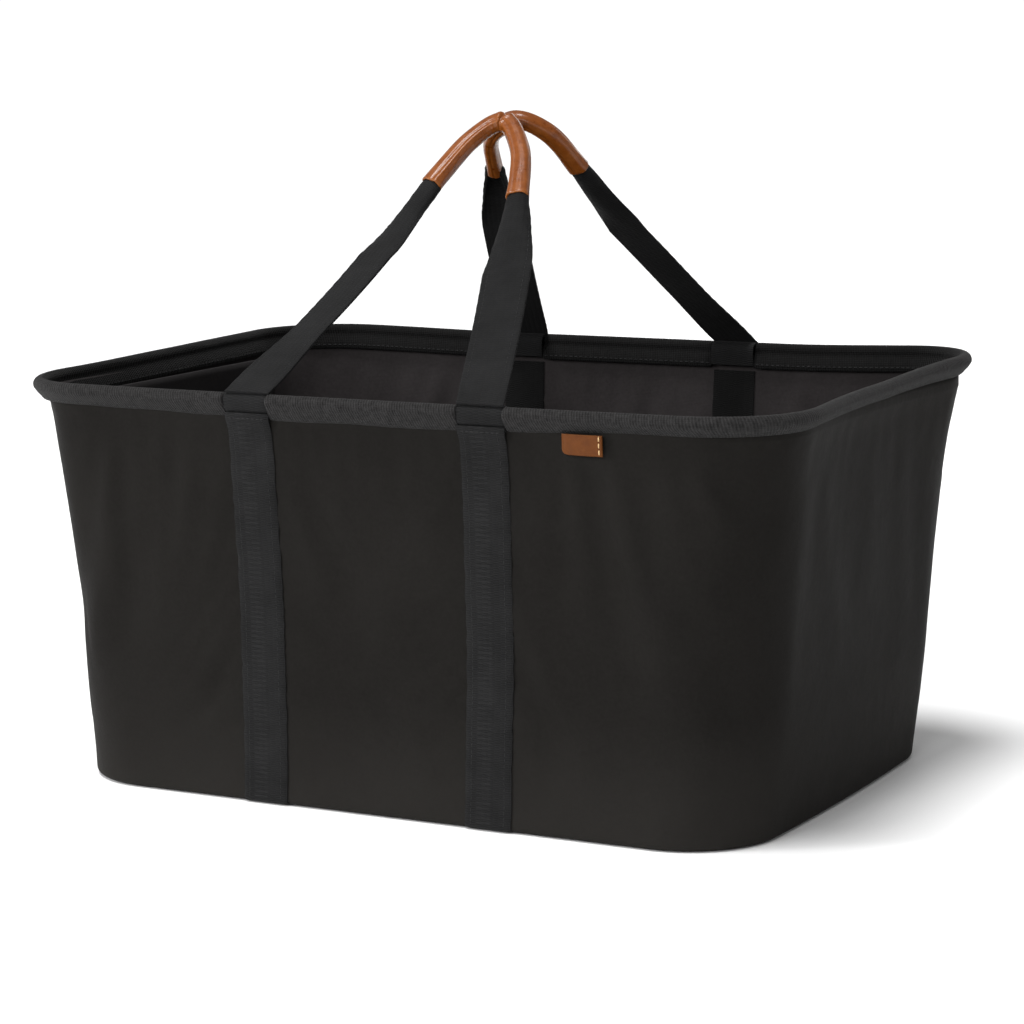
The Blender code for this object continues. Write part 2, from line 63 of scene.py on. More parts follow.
# ------------------------------------------------------------------ driving sizes
# HALF_X and HALF_Y are half lengths, CORNER a plan radius, BOW_X and BOW_Y how far the
# middle of an end or of a long side stands out from the straight line
RIM_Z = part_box("right_binding")[1].z
RIM_HALF_X, RIM_HALF_Y, RIM_CORNER = 0.2955, 0.1955, 0.0720
RIM_BOW_X, RIM_BOW_Y = -0.0140, 0.0050
RIM_INSET = 0.0055               # from the rim's outside to the line the tape follows
LEAN = 0.0036                    # the rim sits this far to the right of the base
TOP_Z, TOP_HALF_X, TOP_HALF_Y, TOP_CORNER = 0.2540, 0.2810, 0.1890, 0.0700
BASE_Z, BASE_HALF_X, BASE_HALF_Y, BASE_CORNER = 0.0045, 0.2560, 0.1772, 0.0600
BASE_BOW_X = 0.0060
UNDERSIDE_Z, TURN = 0.0006, 0.0037           # underside, and the inset of the turn at its edge
WALL_TOP_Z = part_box("front_wall")[1].z
WALL_THICK = 0.0012
CLOTH_GAP = 0.0003               # between the fabric and the webbing on it
STRAP_X = -centre_of("front_left_handle_loop", 0)
WIRE_Z = centre_of("front_left_handle_loop", 2)
STRAP_X_LOW = -centre_of("left_base_strap", 0)
STRAP_W = 0.0340
STRAP_HALF = STRAP_W / 2
STRAP_SKEW = 0.0040              # the front bands run this far to the left at the base

SIDES = (("left", -1), ("right", 1))
CORNERS = [(front_back + "_" + side, sx, sy)
           for front_back, sy in (("front", -1), ("back", 1)) for side, sx in SIDES]


# ------------------------------------------------------------------ numeric helpers
def lerp(a, b, t):
    return a + (b - a) * t


def smooth(t):
    t = np.clip(t, 0.0, 1.0)
    return t * t * (3 - 2 * t)


def noise_at(x, y, z, seed=0.0):
    """Smooth noise, -1..1, on arrays."""
    x, y, z = np.broadcast_arrays(x, y, z)
    values = [noise.noise((a + seed * 7.13, b + seed * 3.71, c + seed * 1.93))
              for a, b, c in zip(x.ravel(), y.ravel(), z.ravel())]
    return np.array(values).reshape(x.shape)


def unit(vectors):
    return vectors / np.linalg.norm(vectors, axis=-1, keepdims=True)


def xyz(x, y, z):
    """Points from three coordinates, any of which may be a single number."""
    return np.stack(np.broadcast_arrays(x, y, z), -1)


def arc_length(points):
    """Distance travelled at each point of an open line."""
    return np.concatenate([[0], np.cumsum(np.linalg.norm(np.diff(points, axis=0), axis=1))])


def sample(at, reach, values):
    """Rows of values, known at the distances in reach, read off at other distances."""
    return np.stack([np.interp(at, reach, column) for column in values.T], -1)


def relax(points, times):
    """Softens a line in place, with its ends held."""
    for _ in range(times):
        points[1:-1] = (points[:-2] + 2 * points[1:-1] + points[2:]) / 4


# ------------------------------------------------------------------ shader nodes
class Shader:
    """Builds the nodes of a material or world; any input takes a socket or a plain value."""

    INPUTS = {"color": "Base Color", "rough": "Roughness", "metal": "Metallic",
              "normal": "Normal", "sheen": "Sheen Weight", "sheen_rough": "Sheen Roughness",
              "coat": "Coat Weight", "coat_rough": "Coat Roughness",
              "spec": "Specular IOR Level"}

    def __init__(self, owner):
        owner.use_nodes = True
        self.owner = owner
        self.tree = owner.node_tree
        self.coords = self.node("ShaderNodeTexCoord").outputs

    def put(self, socket, value):
        if isinstance(value, bpy.types.NodeSocket):
            self.tree.links.new(value, socket)
        elif isinstance(value, tuple):
            socket.default_value = (*value, 1)
        else:
            socket.default_value = value

    def node(self, kind, inputs=None, **props):
        node = self.tree.nodes.new(kind)
        for name, value in props.items():
            setattr(node, name, value)
        for key, value in (inputs or {}).items():
            self.put(node.inputs[key], value)
        return node

    def split(self, vector):
        """The x, y and z of a vector socket."""
        return self.node("ShaderNodeSeparateXYZ", {0: vector}).outputs

    def uv(self):
        """u and v of the piece's own UV map, in metres."""
        return self.split(self.coords["UV"])[:2]

    def math(self, operation, *values):
        node = self.node("ShaderNodeMath", dict(enumerate(values)), operation=operation)
        return node.outputs[0]

    def add(self, a, b):
        return self.math('ADD', a, b)

    def mul(self, a, b):
        return self.math('MULTIPLY', a, b)

    def weighted(self, *terms):
        """Sum of (socket, weight) pairs."""
        first = self.mul(*terms[0])
        return self.add(first, self.weighted(*terms[1:])) if len(terms) > 1 else first

    def wave(self, *terms):
        """Sine of a weighted sum; a weight of TAU / p repeats every p."""
        return self.math('SINE', self.weighted(*terms))

    def noise(self, scale, detail=3.0, roughness=0.55, vector=None):
        if vector is None:
            vector = self.coords["Object"]
        inputs = {"Scale": scale, "Detail": detail, "Roughness": roughness, "Vector": vector}
        return self.node("ShaderNodeTexNoise", inputs).outputs["Fac"]

    def ramp(self, factor, stops):
        """Colour ramp; stops maps positions to colours."""
        node = self.node("ShaderNodeValToRGB", {0: factor})
        elements = node.color_ramp.elements
        while len(elements) < len(stops):
            elements.new(0.5)
        for element, (position, colour) in zip(elements, stops.items()):
            element.position = position
            element.color = (*colour, 1)
        return node.outputs[0]

    def remap(self, value, to=(0.0, 1.0), over=(0.0, 1.0)):
        """Takes the range over to the range to, clamped."""
        inputs = {"Value": value, "From Min": over[0], "From Max": over[1],
                  "To Min": to[0], "To Max": to[1]}
        return self.node("ShaderNodeMapRange", inputs).outputs[0]

    def mix(self, factor, a, b):
        # 6, 7 and output 2 are the colour sockets
        return self.node("ShaderNodeMix", {0: factor, 6: a, 7: b}, data_type='RGBA').outputs[2]

    def bump(self, height, distance, strength, under=None):
        inputs = {"Strength": strength, "Distance": distance, "Height": height}
        if under is not None:
            inputs["Normal"] = under
        return self.node("ShaderNodeBump", inputs).outputs[0]

    def surface(self, **values):
        """Sets the principled inputs and hands back the material."""
        bsdf = self.tree.nodes["Principled BSDF"]
        for key, value in values.items():
            self.put(bsdf.inputs[self.INPUTS[key]], value)
        return self.owner


def new_material(name):
    return Shader(bpy.data.materials.new(name))


# ------------------------------------------------------------------ materials
def weave_material(name, dark, light, rough=(0.46, 0.60), pitch=0.00075, sheen=0.0,
                   painted_foot_light=0.0):
    """Coated plain weave: crossed threads, cloudy tone; the last argument paints light into the
    colour near the floor, standing in for fill light on the shaded foot of the wall.
    """
    k = new_material(name)
    u, v = k.uv()
    weave = k.weighted((k.wave((u, TAU / pitch)), 0.25), (k.wave((v, TAU / pitch)), 0.25))
    slub = k.noise(scale=1400.0, detail=2.0)
    height = k.add(weave, k.mul(slub, 0.8))
    cloud = k.noise(scale=9.0, detail=4.0, roughness=0.6)
    fine = k.noise(scale=420.0, detail=3.0, roughness=0.65)
    colour = k.ramp(k.weighted((cloud, 0.6), (fine, 0.4)), {0.30: dark, 0.72: light})
    if painted_foot_light:
        # painted light: the colour is lightened over the lowest 8.5 cm, standing in for fill
        # light where the foot of the wall is in shade
        z = k.split(k.coords["Object"])[2]
        foot_light_paint = k.remap(z, to=(painted_foot_light, 0.0), over=(0.0, 0.085))
        colour = k.mix(foot_light_paint, colour, tuple(c * 2.4 for c in light))
    soft = k.bump(k.noise(scale=55.0, detail=3.0, roughness=0.5), distance=0.0016, strength=0.35)
    return k.surface(
        color=colour, sheen=sheen, sheen_rough=0.45, spec=0.016,
        rough=k.remap(k.weighted((cloud, 0.5), (slub, 0.5)), to=rough, over=(0.35, 0.65)),
        normal=k.bump(height, distance=0.00012, strength=0.55, under=soft))


def webbing_material(name, dark, light, ladder=0.0):
    """Ribbed webbing, u across the strap and v along it; ladder raises rungs in its middle."""
    rib, column_width = 0.0016, 0.00425
    k = new_material(name)
    u, v = k.uv()
    column = k.math('FLOOR', k.math('DIVIDE', u, column_width))
    odd = k.mul(k.math('MODULO', column, 2.0), math.pi)          # every other column half out
    ribs = k.math('SINE', k.add(k.mul(v, TAU / rib), odd))
    columns = k.math('ABSOLUTE', k.wave((u, math.pi / column_width)))
    warp = k.wave((u, TAU / 0.0009))
    fuzz = k.noise(scale=900.0, detail=3.0, roughness=0.7)
    height = k.weighted((ribs, 0.30), (columns, 0.35), (warp, 0.10), (fuzz, 0.55))
    cloud = k.noise(scale=38.0, detail=4.0, roughness=0.62)
    tone = k.weighted((cloud, 0.45), (fuzz, 0.35), (k.remap(ribs, over=(-1.0, 1.0)), 0.20))
    if ladder:
        inside = k.mul(k.remap(u, over=(0.0085, 0.0098)),
                       k.remap(u, to=(1.0, 0.0), over=(0.0185, 0.0198)))
        jog = k.noise(scale=210.0, detail=1.0, roughness=0.5, vector=k.coords["UV"])
        rung = k.remap(k.wave((v, TAU / 0.0034), (jog, 1.5)), over=(0.15, 0.75))
        worn = k.remap(k.noise(scale=120.0, detail=2.0), to=(0.3, 1.0), over=(0.35, 0.6))
        rung = k.mul(k.mul(rung, inside), worn)
        tone = k.add(tone, k.mul(rung, ladder))
        height = k.add(height, k.mul(rung, ladder * 3.0))
    return k.surface(
        color=k.ramp(tone, {0.30: dark, 0.70: light}), sheen=0.02, sheen_rough=0.5, spec=0.08,
        rough=k.remap(fuzz, to=(0.64, 0.82), over=(0.3, 0.7)),
        normal=k.bump(height, distance=0.00032, strength=0.85))


def tape_material(name, dark, light):
    """Woven edge tape, u along it and v across; slanting ribs with a broken, knotted look."""
    k = new_material(name)
    u, v = k.uv()
    wobble = k.noise(scale=160.0, detail=2.0, roughness=0.5, vector=k.coords["UV"])
    ribs = k.wave((u, TAU / 0.0019), (v, TAU / 0.0095), (wobble, 2.2))
    cross = k.wave((v, TAU / 0.0014), (wobble, 3.0))
    fuzz = k.noise(scale=700.0, detail=4.0, roughness=0.7)
    height = k.weighted((ribs, 0.45), (cross, 0.2), (fuzz, 0.6))
    knots = k.noise(scale=330.0, detail=2.0, roughness=0.6)
    tone = k.weighted((fuzz, 0.35), (knots, 0.50), (k.remap(ribs, over=(-1.0, 1.0)), 0.15))
    return k.surface(
        color=k.ramp(tone, {0.28: dark, 0.72: light}), sheen=0.03, sheen_rough=0.5, spec=0.08,
        rough=k.remap(fuzz, to=(0.66, 0.86), over=(0.3, 0.7)),
        normal=k.bump(height, distance=0.00042, strength=0.95))


def leather_material(name, dark, middle, light, rough, coat, spec):
    """Waxed leather: fine pebble, painted shade in the creases, paler where it is worn on the
    edges.
    """
    k = new_material(name)
    cells = k.node("ShaderNodeTexVoronoi", {"Scale": 900.0, "Vector": k.coords["Object"]},
                   feature='DISTANCE_TO_EDGE')
    pebble = k.remap(cells.outputs["Distance"], over=(0.0, 0.25))
    cloud = k.noise(scale=70.0, detail=5.0, roughness=0.62)
    streak = k.noise(scale=230.0, detail=3.0, roughness=0.6)
    tone = k.weighted((cloud, 0.6), (streak, 0.4))
    colour = k.ramp(tone, {0.22: dark, 0.50: middle, 0.80: light})
    pointiness = k.node("ShaderNodeNewGeometry").outputs["Pointiness"]
    edge = k.remap(pointiness, over=(0.52, 0.60))
    colour = k.mix(k.mul(edge, 0.55), colour, light)
    # painted shade: concave places (low pointiness) are darkened, standing in for shade in the
    # creases
    crease_shade = k.remap(pointiness, to=(1.0, 0.0), over=(0.40, 0.48))
    colour = k.mix(k.mul(crease_shade, 0.7), colour, tuple(c * 0.35 for c in dark))
    height = k.weighted((pebble, 0.5), (k.noise(scale=1500.0, detail=3.0), 0.6))
    soft = k.bump(k.noise(scale=140.0, detail=3.0, roughness=0.5),
                  distance=0.0009, strength=0.30)
    return k.surface(
        color=colour, rough=k.remap(tone, to=rough, over=(0.3, 0.7)), coat=coat,
        coat_rough=0.20, spec=spec,
        normal=k.bump(height, distance=0.00010, strength=0.45, under=soft))


def thread_material(name, dark, light):
    """Twisted sewing thread."""
    k = new_material(name)
    u, v = k.uv()
    fuzz = k.noise(scale=1500.0, detail=2.0)
    twist = k.wave((u, TAU / 0.0006), (v, TAU / 0.0008))
    return k.surface(
        color=k.ramp(fuzz, {0.3: dark, 0.7: light}), rough=0.6, sheen=0.05, sheen_rough=0.4,
        spec=0.25,
        normal=k.bump(k.add(fuzz, k.mul(twist, 0.3)), distance=0.0001, strength=0.6))


def steel_material(name):
    k = new_material(name)
    grain = k.noise(scale=500.0, detail=4.0)
    colour = k.ramp(grain, {0.3: (0.010, 0.010, 0.011), 0.7: (0.024, 0.024, 0.025)})
    return k.surface(
        color=colour, metal=0.4, rough=k.remap(grain, to=(0.45, 0.62), over=(0.3, 0.7)),
        normal=k.bump(grain, distance=0.0001, strength=0.3))


# the shell's colour carries painted light near the floor
SHELL = weave_material("shell_fabric", dark=(0.0094, 0.0087, 0.0080),
                       light=(0.0150, 0.0140, 0.0129), painted_foot_light=0.30)
LINING = weave_material("lining_fabric", dark=(0.0235, 0.0208, 0.0212),
                        light=(0.0400, 0.0360, 0.0366), rough=(0.62, 0.8), pitch=0.0011,
                        sheen=0.03)
PANEL = weave_material("panel_fabric", dark=(0.0125, 0.0115, 0.0117),
                       light=(0.0215, 0.0198, 0.0202), rough=(0.62, 0.8), pitch=0.0011,
                       sheen=0.02)
WEB = webbing_material("strap_webbing", dark=(0.0046, 0.0046, 0.0047),
                       light=(0.0138, 0.0138, 0.0142))
WEB_WALL = webbing_material("body_webbing", dark=(0.0050, 0.0050, 0.0051),
                            light=(0.0165, 0.0164, 0.0168), ladder=0.22)
WEB_INNER = webbing_material("inner_webbing", dark=(0.0035, 0.0035, 0.0035),
                             light=(0.0080, 0.0080, 0.0080))
TAPE = tape_material("edge_tape", dark=(0.0055, 0.0052, 0.0052),
                     light=(0.0310, 0.0300, 0.0300))
# painted shade: a darker copy of the edge tape for its inner face, standing in for the shade
# inside the bag
TAPE_PAINTED_SHADE = tape_material("edge_tape_painted_shade", dark=(0.0021, 0.0020, 0.0020),
                           light=(0.0064, 0.0062, 0.0062))
LEATHER = leather_material("grip_leather", dark=(0.100, 0.022, 0.003),
                           middle=(0.190, 0.050, 0.006), light=(0.305, 0.102, 0.022),
                           rough=(0.22, 0.40), coat=0.14, spec=0.28)
LABEL = leather_material("label_leather", dark=(0.066, 0.017, 0.002),
                         middle=(0.100, 0.028, 0.003), light=(0.140, 0.046, 0.007),
                         rough=(0.42, 0.58), coat=0.02, spec=0.15)
THREAD_PALE = thread_material("pale_thread", dark=(0.52, 0.32, 0.14), light=(0.75, 0.52, 0.27))
THREAD_DARK = thread_material("dark_thread", dark=(0.0065, 0.0065, 0.0068),
                              light=(0.0165, 0.0165, 0.0170))
STEEL = steel_material("spring_wire")


# ------------------------------------------------------------------ mesh helpers
def make(name, verts, faces, uvs, materials, material_index=None, smooth_shade=True):
    """New object; uvs is a list with one entry per face corner, or an array, a row per vertex."""
    mesh = bpy.data.meshes.new(name)
    mesh.from_pydata([tuple(map(float, v)) for v in verts], [], faces)
    mesh.update()
    layer = mesh.uv_layers.new(name="UVMap")
    if isinstance(uvs, list):
        flat = np.array([corner for face in uvs for corner in face], float)
    else:
        vertex = np.empty(len(mesh.loops), dtype=np.int64)
        mesh.loops.foreach_get("vertex_index", vertex)
        flat = np.asarray(uvs, float)[vertex]
    layer.data.foreach_set("uv", flat.astype(np.float32).ravel())
    for material in materials:
        mesh.materials.append(material)
    if material_index is not None:
        mesh.polygons.foreach_set("material_index", np.asarray(material_index, dtype=np.int32))
    if smooth_shade:
        mesh.polygons.foreach_set("use_smooth", np.ones(len(mesh.polygons), dtype=bool))
    ob = bpy.data.objects.new(name, mesh)
    coll.objects.link(ob)
    return ob


def fix_normals(ob, merge=0.0):
    """Turns all faces outwards, after joining points closer than merge."""
    bm = bmesh.new()
    bm.from_mesh(ob.data)
    if merge:
        bmesh.ops.remove_doubles(bm, verts=bm.verts, dist=merge)
    bmesh.ops.recalc_face_normals(bm, faces=bm.faces)
    bm.to_mesh(ob.data)
    bm.free()


def sharpen(ob, degrees):
    ob.data.set_sharp_from_angle(angle=math.radians(degrees))


def tube_faces(rings, size, closed=False, base=0):
    """Quads between rings of points; closed joins the last ring to the first."""
    faces = []
    for i in range(rings if closed else rings - 1):
        here = base + i * size
        there = base + (i + 1) % rings * size
        for j in range(size):
            k = (j + 1) % size
            faces.append((here + j, here + k, there + k, there + j))
    return faces


def end_caps(rings, size, base=0):
    last = base + (rings - 1) * size
    return [tuple(reversed(range(base, base + size))), tuple(range(last, last + size))]


def tube_uv(grid, closed=False):
    """Corner UVs for tube_faces; each row has one more point than its ring, for the seam."""
    following = np.roll(grid, -1, 0)
    corners = np.stack([grid[:, :-1], grid[:, 1:], following[:, 1:], following[:, :-1]], axis=2)
    return list((corners if closed else corners[:-1]).reshape(-1, 4, 2))


def loft(name, sections, uv, materials, sharp, material_index=None):
    """Capped tube through sections (rings, size, 3), with uv (rings, size + 1, 2)."""
    rings, size = sections.shape[:2]
    faces = tube_faces(rings, size) + end_caps(rings, size)
    corners = tube_uv(uv) + [uv[0, :size][::-1], uv[-1, :size]]
    index = list(material_index or [0] * size) * (rings - 1) + [0, 0]
    ob = make(name, sections.reshape(-1, 3), faces, corners, materials, index)
    fix_normals(ob)
    sharpen(ob, sharp)
    return ob


def loft_strap(name, face, back, half, along, material):
    """Flat strap between two grids of points; u runs across it and v along it."""
    across = np.linspace(-1, 1, face.shape[1])
    sections = np.concatenate([face, back[:, ::-1]], axis=1)
    around = np.concatenate([(across + 1) * half, (across[::-1] + 1) * half, [0.0]])
    uv = np.stack(np.meshgrid(around, along), -1)
    return loft(name, sections, uv, (material,), sharp=60)


def edge_taper(across, power, thinnest=0.4):
    """Thickness factor of a strap, 1 in the middle and falling off at its edges."""
    full = np.sqrt(np.clip(1 - np.abs(across) ** power, 0, 1))
    return thinnest + (1 - thinnest) * full


def edge_ridge(across, ridge, ridge_at, ridge_width, groove, groove_at):
    """Raised edge of a strap with a sewn groove inside it."""
    a = np.abs(across)
    return (ridge * np.exp(-((a - ridge_at) / ridge_width) ** 2)
            - groove * np.exp(-((a - groove_at) / 0.05) ** 2))


def plate(name, face, back, uv_axes, material):
    """Two matching grids of points joined round their edge; uv_axes picks two coordinates."""
    rows, cols = face.shape[:2]
    verts = np.concatenate([face.reshape(-1, 3), back.reshape(-1, 3)])
    off = rows * cols
    faces = []
    for i in range(rows - 1):
        for j in range(cols - 1):
            a = i * cols + j
            faces.append((a, a + 1, a + cols + 1, a + cols))
            faces.append((off + a, off + a + cols, off + a + cols + 1, off + a + 1))
    ring = list(range(cols))
    ring += [i * cols + cols - 1 for i in range(1, rows)]
    ring += [(rows - 1) * cols + j for j in range(cols - 2, -1, -1)]
    ring += [i * cols for i in range(rows - 2, 0, -1)]
    for a, b in zip(ring, ring[1:] + ring[:1]):
        faces.append((a, off + a, off + b, b))
    return make(name, verts, faces, verts[:, list(uv_axes)], (material,))


def corner_inset(distance, radius):
    """How far a rounded corner draws the side in, at a distance from the end."""
    if distance >= radius:
        return 0.0
    return radius - math.sqrt(max(0.0, radius * radius - (radius - distance) ** 2))


def register(piece, rides, replaces=(), collapses=False):
    if replaces:
        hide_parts(*replaces)
    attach(piece, rides)
    if collapses:
        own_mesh(piece)


# ------------------------------------------------------------------ stitches
# length of a stitch, spacing, radius of the thread and how far its middle is lifted
BAND_STITCH = dict(length=0.0027, pitch=0.0040, radius=0.00024, lift=0.00006)
BAR_STITCH = dict(length=0.0024, pitch=0.0034, radius=0.00026, lift=0.00008)
TAPE_STITCH = dict(length=0.0028, pitch=0.0041, radius=0.00027, lift=0.00012)
HANDLE_STITCH = dict(length=0.0027, pitch=0.0041, radius=0.00022, lift=0.00005)
LABEL_STITCH = dict(length=0.0032, pitch=0.0033, radius=0.00048, lift=0.00028)
# place along the stitch, share of the radius, share of the lift
STITCH_PROFILE = ((-0.5, 0.25, -0.5), (-0.40, 0.85, 0.3), (-0.2, 1.0, 0.85),
                  (0.2, 1.0, 0.85), (0.40, 0.85, 0.3), (0.5, 0.25, -0.5))
STITCH_SIDES = 6


def thread_uv(verts):
    verts = np.array(verts)
    return np.c_[verts[:, 0] + verts[:, 1], verts[:, 2]]


def stitch_row(points, normals, length, pitch, radius, lift, name="row", material=THREAD_DARK):
    """Short raised threads along a line of points; normals is one vector or one per point."""
    points = np.asarray(points, float)
    normals = np.broadcast_to(np.asarray(normals, float), points.shape)
    reach = arc_length(points)
    count = int(reach[-1] // pitch)
    angle = TAU * np.arange(STITCH_SIDES) / STITCH_SIDES
    rings = len(STITCH_PROFILE)
    step = 0.0004                            # either side, to find the line's direction
    verts, faces = [], []
    for c in range(count):
        middle = (c + 0.5) * reach[-1] / count
        base = len(verts)
        for place, swell, rise in STITCH_PROFILE:
            at = middle + place * length
            centre = sample(at, reach, points)
            normal = unit(sample(at, reach, normals))
            gap = sample(at + step, reach, points) - sample(at - step, reach, points)
            side = np.cross(gap / max(np.linalg.norm(gap), 1e-9), normal)
            r = radius * swell
            verts.extend(centre + np.outer(lift * rise + r * np.sin(angle), normal)
                         + np.outer(r * np.cos(angle), side))
        faces += tube_faces(rings, STITCH_SIDES, base=base)
        faces += end_caps(rings, STITCH_SIDES, base)
    ob = make(name, verts, faces, thread_uv(verts), (material,))
    fix_normals(ob)
    return ob


def sew(name, rows, rides, collapses=False):
    """Makes one piece of several rows of dark stitches."""
    verts, faces = [], []
    for row in rows:
        base = len(verts)
        verts += [tuple(v.co) for v in row.data.vertices]
        faces += [tuple(base + i for i in p.vertices) for p in row.data.polygons]
    for row in rows:
        bpy.data.objects.remove(row)
    ob = make(name, verts, faces, thread_uv(verts), (THREAD_DARK,))
    register(ob, rides, collapses=collapses)


# ------------------------------------------------------------------ outline of the bag
def outline(half_x, half_y, radius, bow_x, bow_y, corner=24, side_x=96, side_y=44):
    """Rounded, bowed rectangle, anticlockwise from the front right corner; the last three
    are segment counts per corner, per long side and per end."""
    cx, cy = half_x - radius, half_y - radius
    centres = ((cx, -cy, -90.0), (cx, cy, 0.0), (-cx, cy, 90.0), (-cx, -cy, 180.0))
    parts = []
    for i, (x, y, start) in enumerate(centres):
        a = np.radians(start + 90.0 * np.arange(corner + 1) / corner)
        parts.append(np.stack([x + radius * np.cos(a), y + radius * np.sin(a)], 1))
        next_x, next_y, a = centres[(i + 1) % 4]
        a = math.radians(a)
        p = parts[-1][-1]
        q = np.array([next_x + radius * math.cos(a), next_y + radius * math.sin(a)])
        steps = side_y if i % 2 == 0 else side_x
        t = (np.arange(1, steps) / steps)[:, None]
        parts.append(p + (q - p) * t)
    points = np.vstack(parts)
    x, y = points[:, 0].copy(), points[:, 1].copy()
    over_x, over_y = (np.abs(x) / half_x) ** 2, (np.abs(y) / half_y) ** 2
    points[:, 0] += (bow_x * np.sign(x) * np.clip(1 - (y / half_y) ** 2, 0, 1)
                     * np.clip(over_x, 0, 1))
    points[:, 1] += (bow_y * np.sign(y) * np.clip(1 - (x / half_x) ** 2, 0, 1)
                     * np.clip(over_y, 0, 1))
    return points


def outward(points):
    """Outward unit normals of a closed anticlockwise outline."""
    tangent = np.roll(points, -1, 0) - np.roll(points, 1, 0)
    return unit(np.stack([tangent[:, 1], -tangent[:, 0]], 1))


def wall_shape(z):
    """The first five arguments of outline at a height: nearly straight, flaring at the top."""
    if z >= BASE_Z:
        t = (z - BASE_Z) / (TOP_Z - BASE_Z)
        flare = t ** 5
        return (lerp(BASE_HALF_X, TOP_HALF_X, t) + 0.0062 * flare,
                lerp(BASE_HALF_Y, TOP_HALF_Y, t) + 0.0015 * flare,
                lerp(BASE_CORNER, TOP_CORNER, t) + 0.001 * flare,
                lerp(BASE_BOW_X, RIM_BOW_X, min(t, 1.0)), RIM_BOW_Y * min(t, 1.0))
    t = min(1.0, (BASE_Z - z) / (BASE_Z - UNDERSIDE_Z))
    inset = TURN * (1 - math.sqrt(max(0.0, 1 - t * t)))
    return BASE_HALF_X - inset, BASE_HALF_Y - inset, BASE_CORNER - inset, BASE_BOW_X, 0.0


def turn_z(degrees):
    """Height on the rounded turn at the underside's edge."""
    return lerp(UNDERSIDE_Z, BASE_Z, 1 - math.cos(math.radians(degrees)))


def lean(z):
    """Shift to the right at a height, with a slight belly halfway up."""
    t = np.clip(np.asarray(z, float) / RIM_Z, 0.0, 1.0)
    return LEAN * t - 0.0007 * (1 - t) + 0.0020 * np.sin(np.pi * t)


def wall_y(x, z):
    half_x, half_y, _, _, bow_y = wall_shape(z)
    return half_y + bow_y * (1 - (x / half_x) ** 2)


def strap_x(z, sx, sy):
    """Centre line of a band; the front pair runs a little skew."""
    t = min(1.0, max(0.0, (z - BASE_Z) / (WALL_TOP_Z - BASE_Z)))
    low = sx * STRAP_X_LOW - (STRAP_SKEW if sy < 0 else 0.0) * (1 - t)
    return lerp(low, sx * STRAP_X, t) + float(lean(z))


# ------------------------------------------------------------------ folds in the fabric
# each: start along the wall, start z, end along the wall, end z, height, half width;
# along the wall is x, and on the ends y (turned round on the left end)
FRONT_FOLDS = (
    (0.172, 0.250, 0.200, 0.185, 0.0022, 0.0105), (0.190, 0.190, 0.242, 0.060, 0.0026, 0.0150),
    (0.150, 0.236, 0.165, 0.150, 0.0012, 0.0100), (0.238, 0.262, 0.247, 0.205, 0.0016, 0.0070),
    (0.108, 0.150, 0.160, 0.050, 0.0021, 0.0125),
    (-0.060, 0.235, -0.035, 0.150, 0.0014, 0.0090),
    (-0.020, 0.215, 0.030, 0.120, 0.0013, 0.0140),
    (-0.135, 0.240, -0.165, 0.120, 0.0015, 0.0130),
    (-0.195, 0.230, -0.225, 0.100, 0.0018, 0.0120),
    (0.010, 0.080, 0.050, 0.030, 0.0011, 0.0100),
)
BACK_FOLDS = (
    (0.150, 0.240, 0.190, 0.120, 0.0020, 0.0130),
    (-0.150, 0.235, -0.200, 0.110, 0.0020, 0.0130),
    (0.020, 0.230, -0.030, 0.120, 0.0015, 0.0140), (0.210, 0.200, 0.235, 0.080, 0.0016, 0.0110),
    (-0.120, 0.120, -0.150, 0.040, 0.0014, 0.0110),
)
END_FOLDS = (
    (-0.080, 0.240, -0.040, 0.110, 0.0009, 0.0150), (0.060, 0.235, 0.085, 0.100, 0.0009, 0.0150),
    (0.000, 0.235, 0.010, 0.130, 0.0006, 0.0140), (0.110, 0.245, 0.120, 0.060, 0.0007, 0.0120),
    (-0.120, 0.245, -0.112, 0.070, 0.0007, 0.0120),
)


def fold_sum(along, z, folds):
    """Height of a set of folds: each a ridge with a shallow trough on either side."""
    out = np.zeros(np.broadcast(along, z).shape)
    for x0, z0, x1, z1, height, width in folds:
        dx, dz = x1 - x0, z1 - z0
        length = math.hypot(dx, dz)
        t = ((along - x0) * dx + (z - z0) * dz) / length / length
        d = ((along - x0) * dz - (z - z0) * dx) / length
        d = d + 0.004 * np.sin(t * 5.0 + x0 * 40)
        fade = smooth((t + 0.25) / 0.4) * smooth((1.25 - t) / 0.5)
        q = d / (width * (0.7 + 0.7 * np.clip(t, 0, 1)))
        out += 1.9 * height * fade * (np.exp(-q * q) - 0.55 * np.exp(-((q - 1.6) ** 2))
                                      - 0.35 * np.exp(-((q + 1.7) ** 2)))
    return out


def strap_gate(x, y, z):
    """0 on a band rising to 1 away from it, and the distance to its edge (1 on the ends)."""
    t = np.clip((z - BASE_Z) / (WALL_TOP_Z - BASE_Z), 0, 1)
    centre = STRAP_X_LOW + (STRAP_X - STRAP_X_LOW) * t
    x = x + np.where(np.asarray(y) < 0, STRAP_SKEW, 0.0) * (1 - t)
    distance = np.abs(np.abs(x) - centre) - STRAP_HALF
    on_long = np.abs(y) > 0.15
    return np.where(on_long, smooth(distance / 0.030), 1.0), np.where(on_long, distance, 1.0)


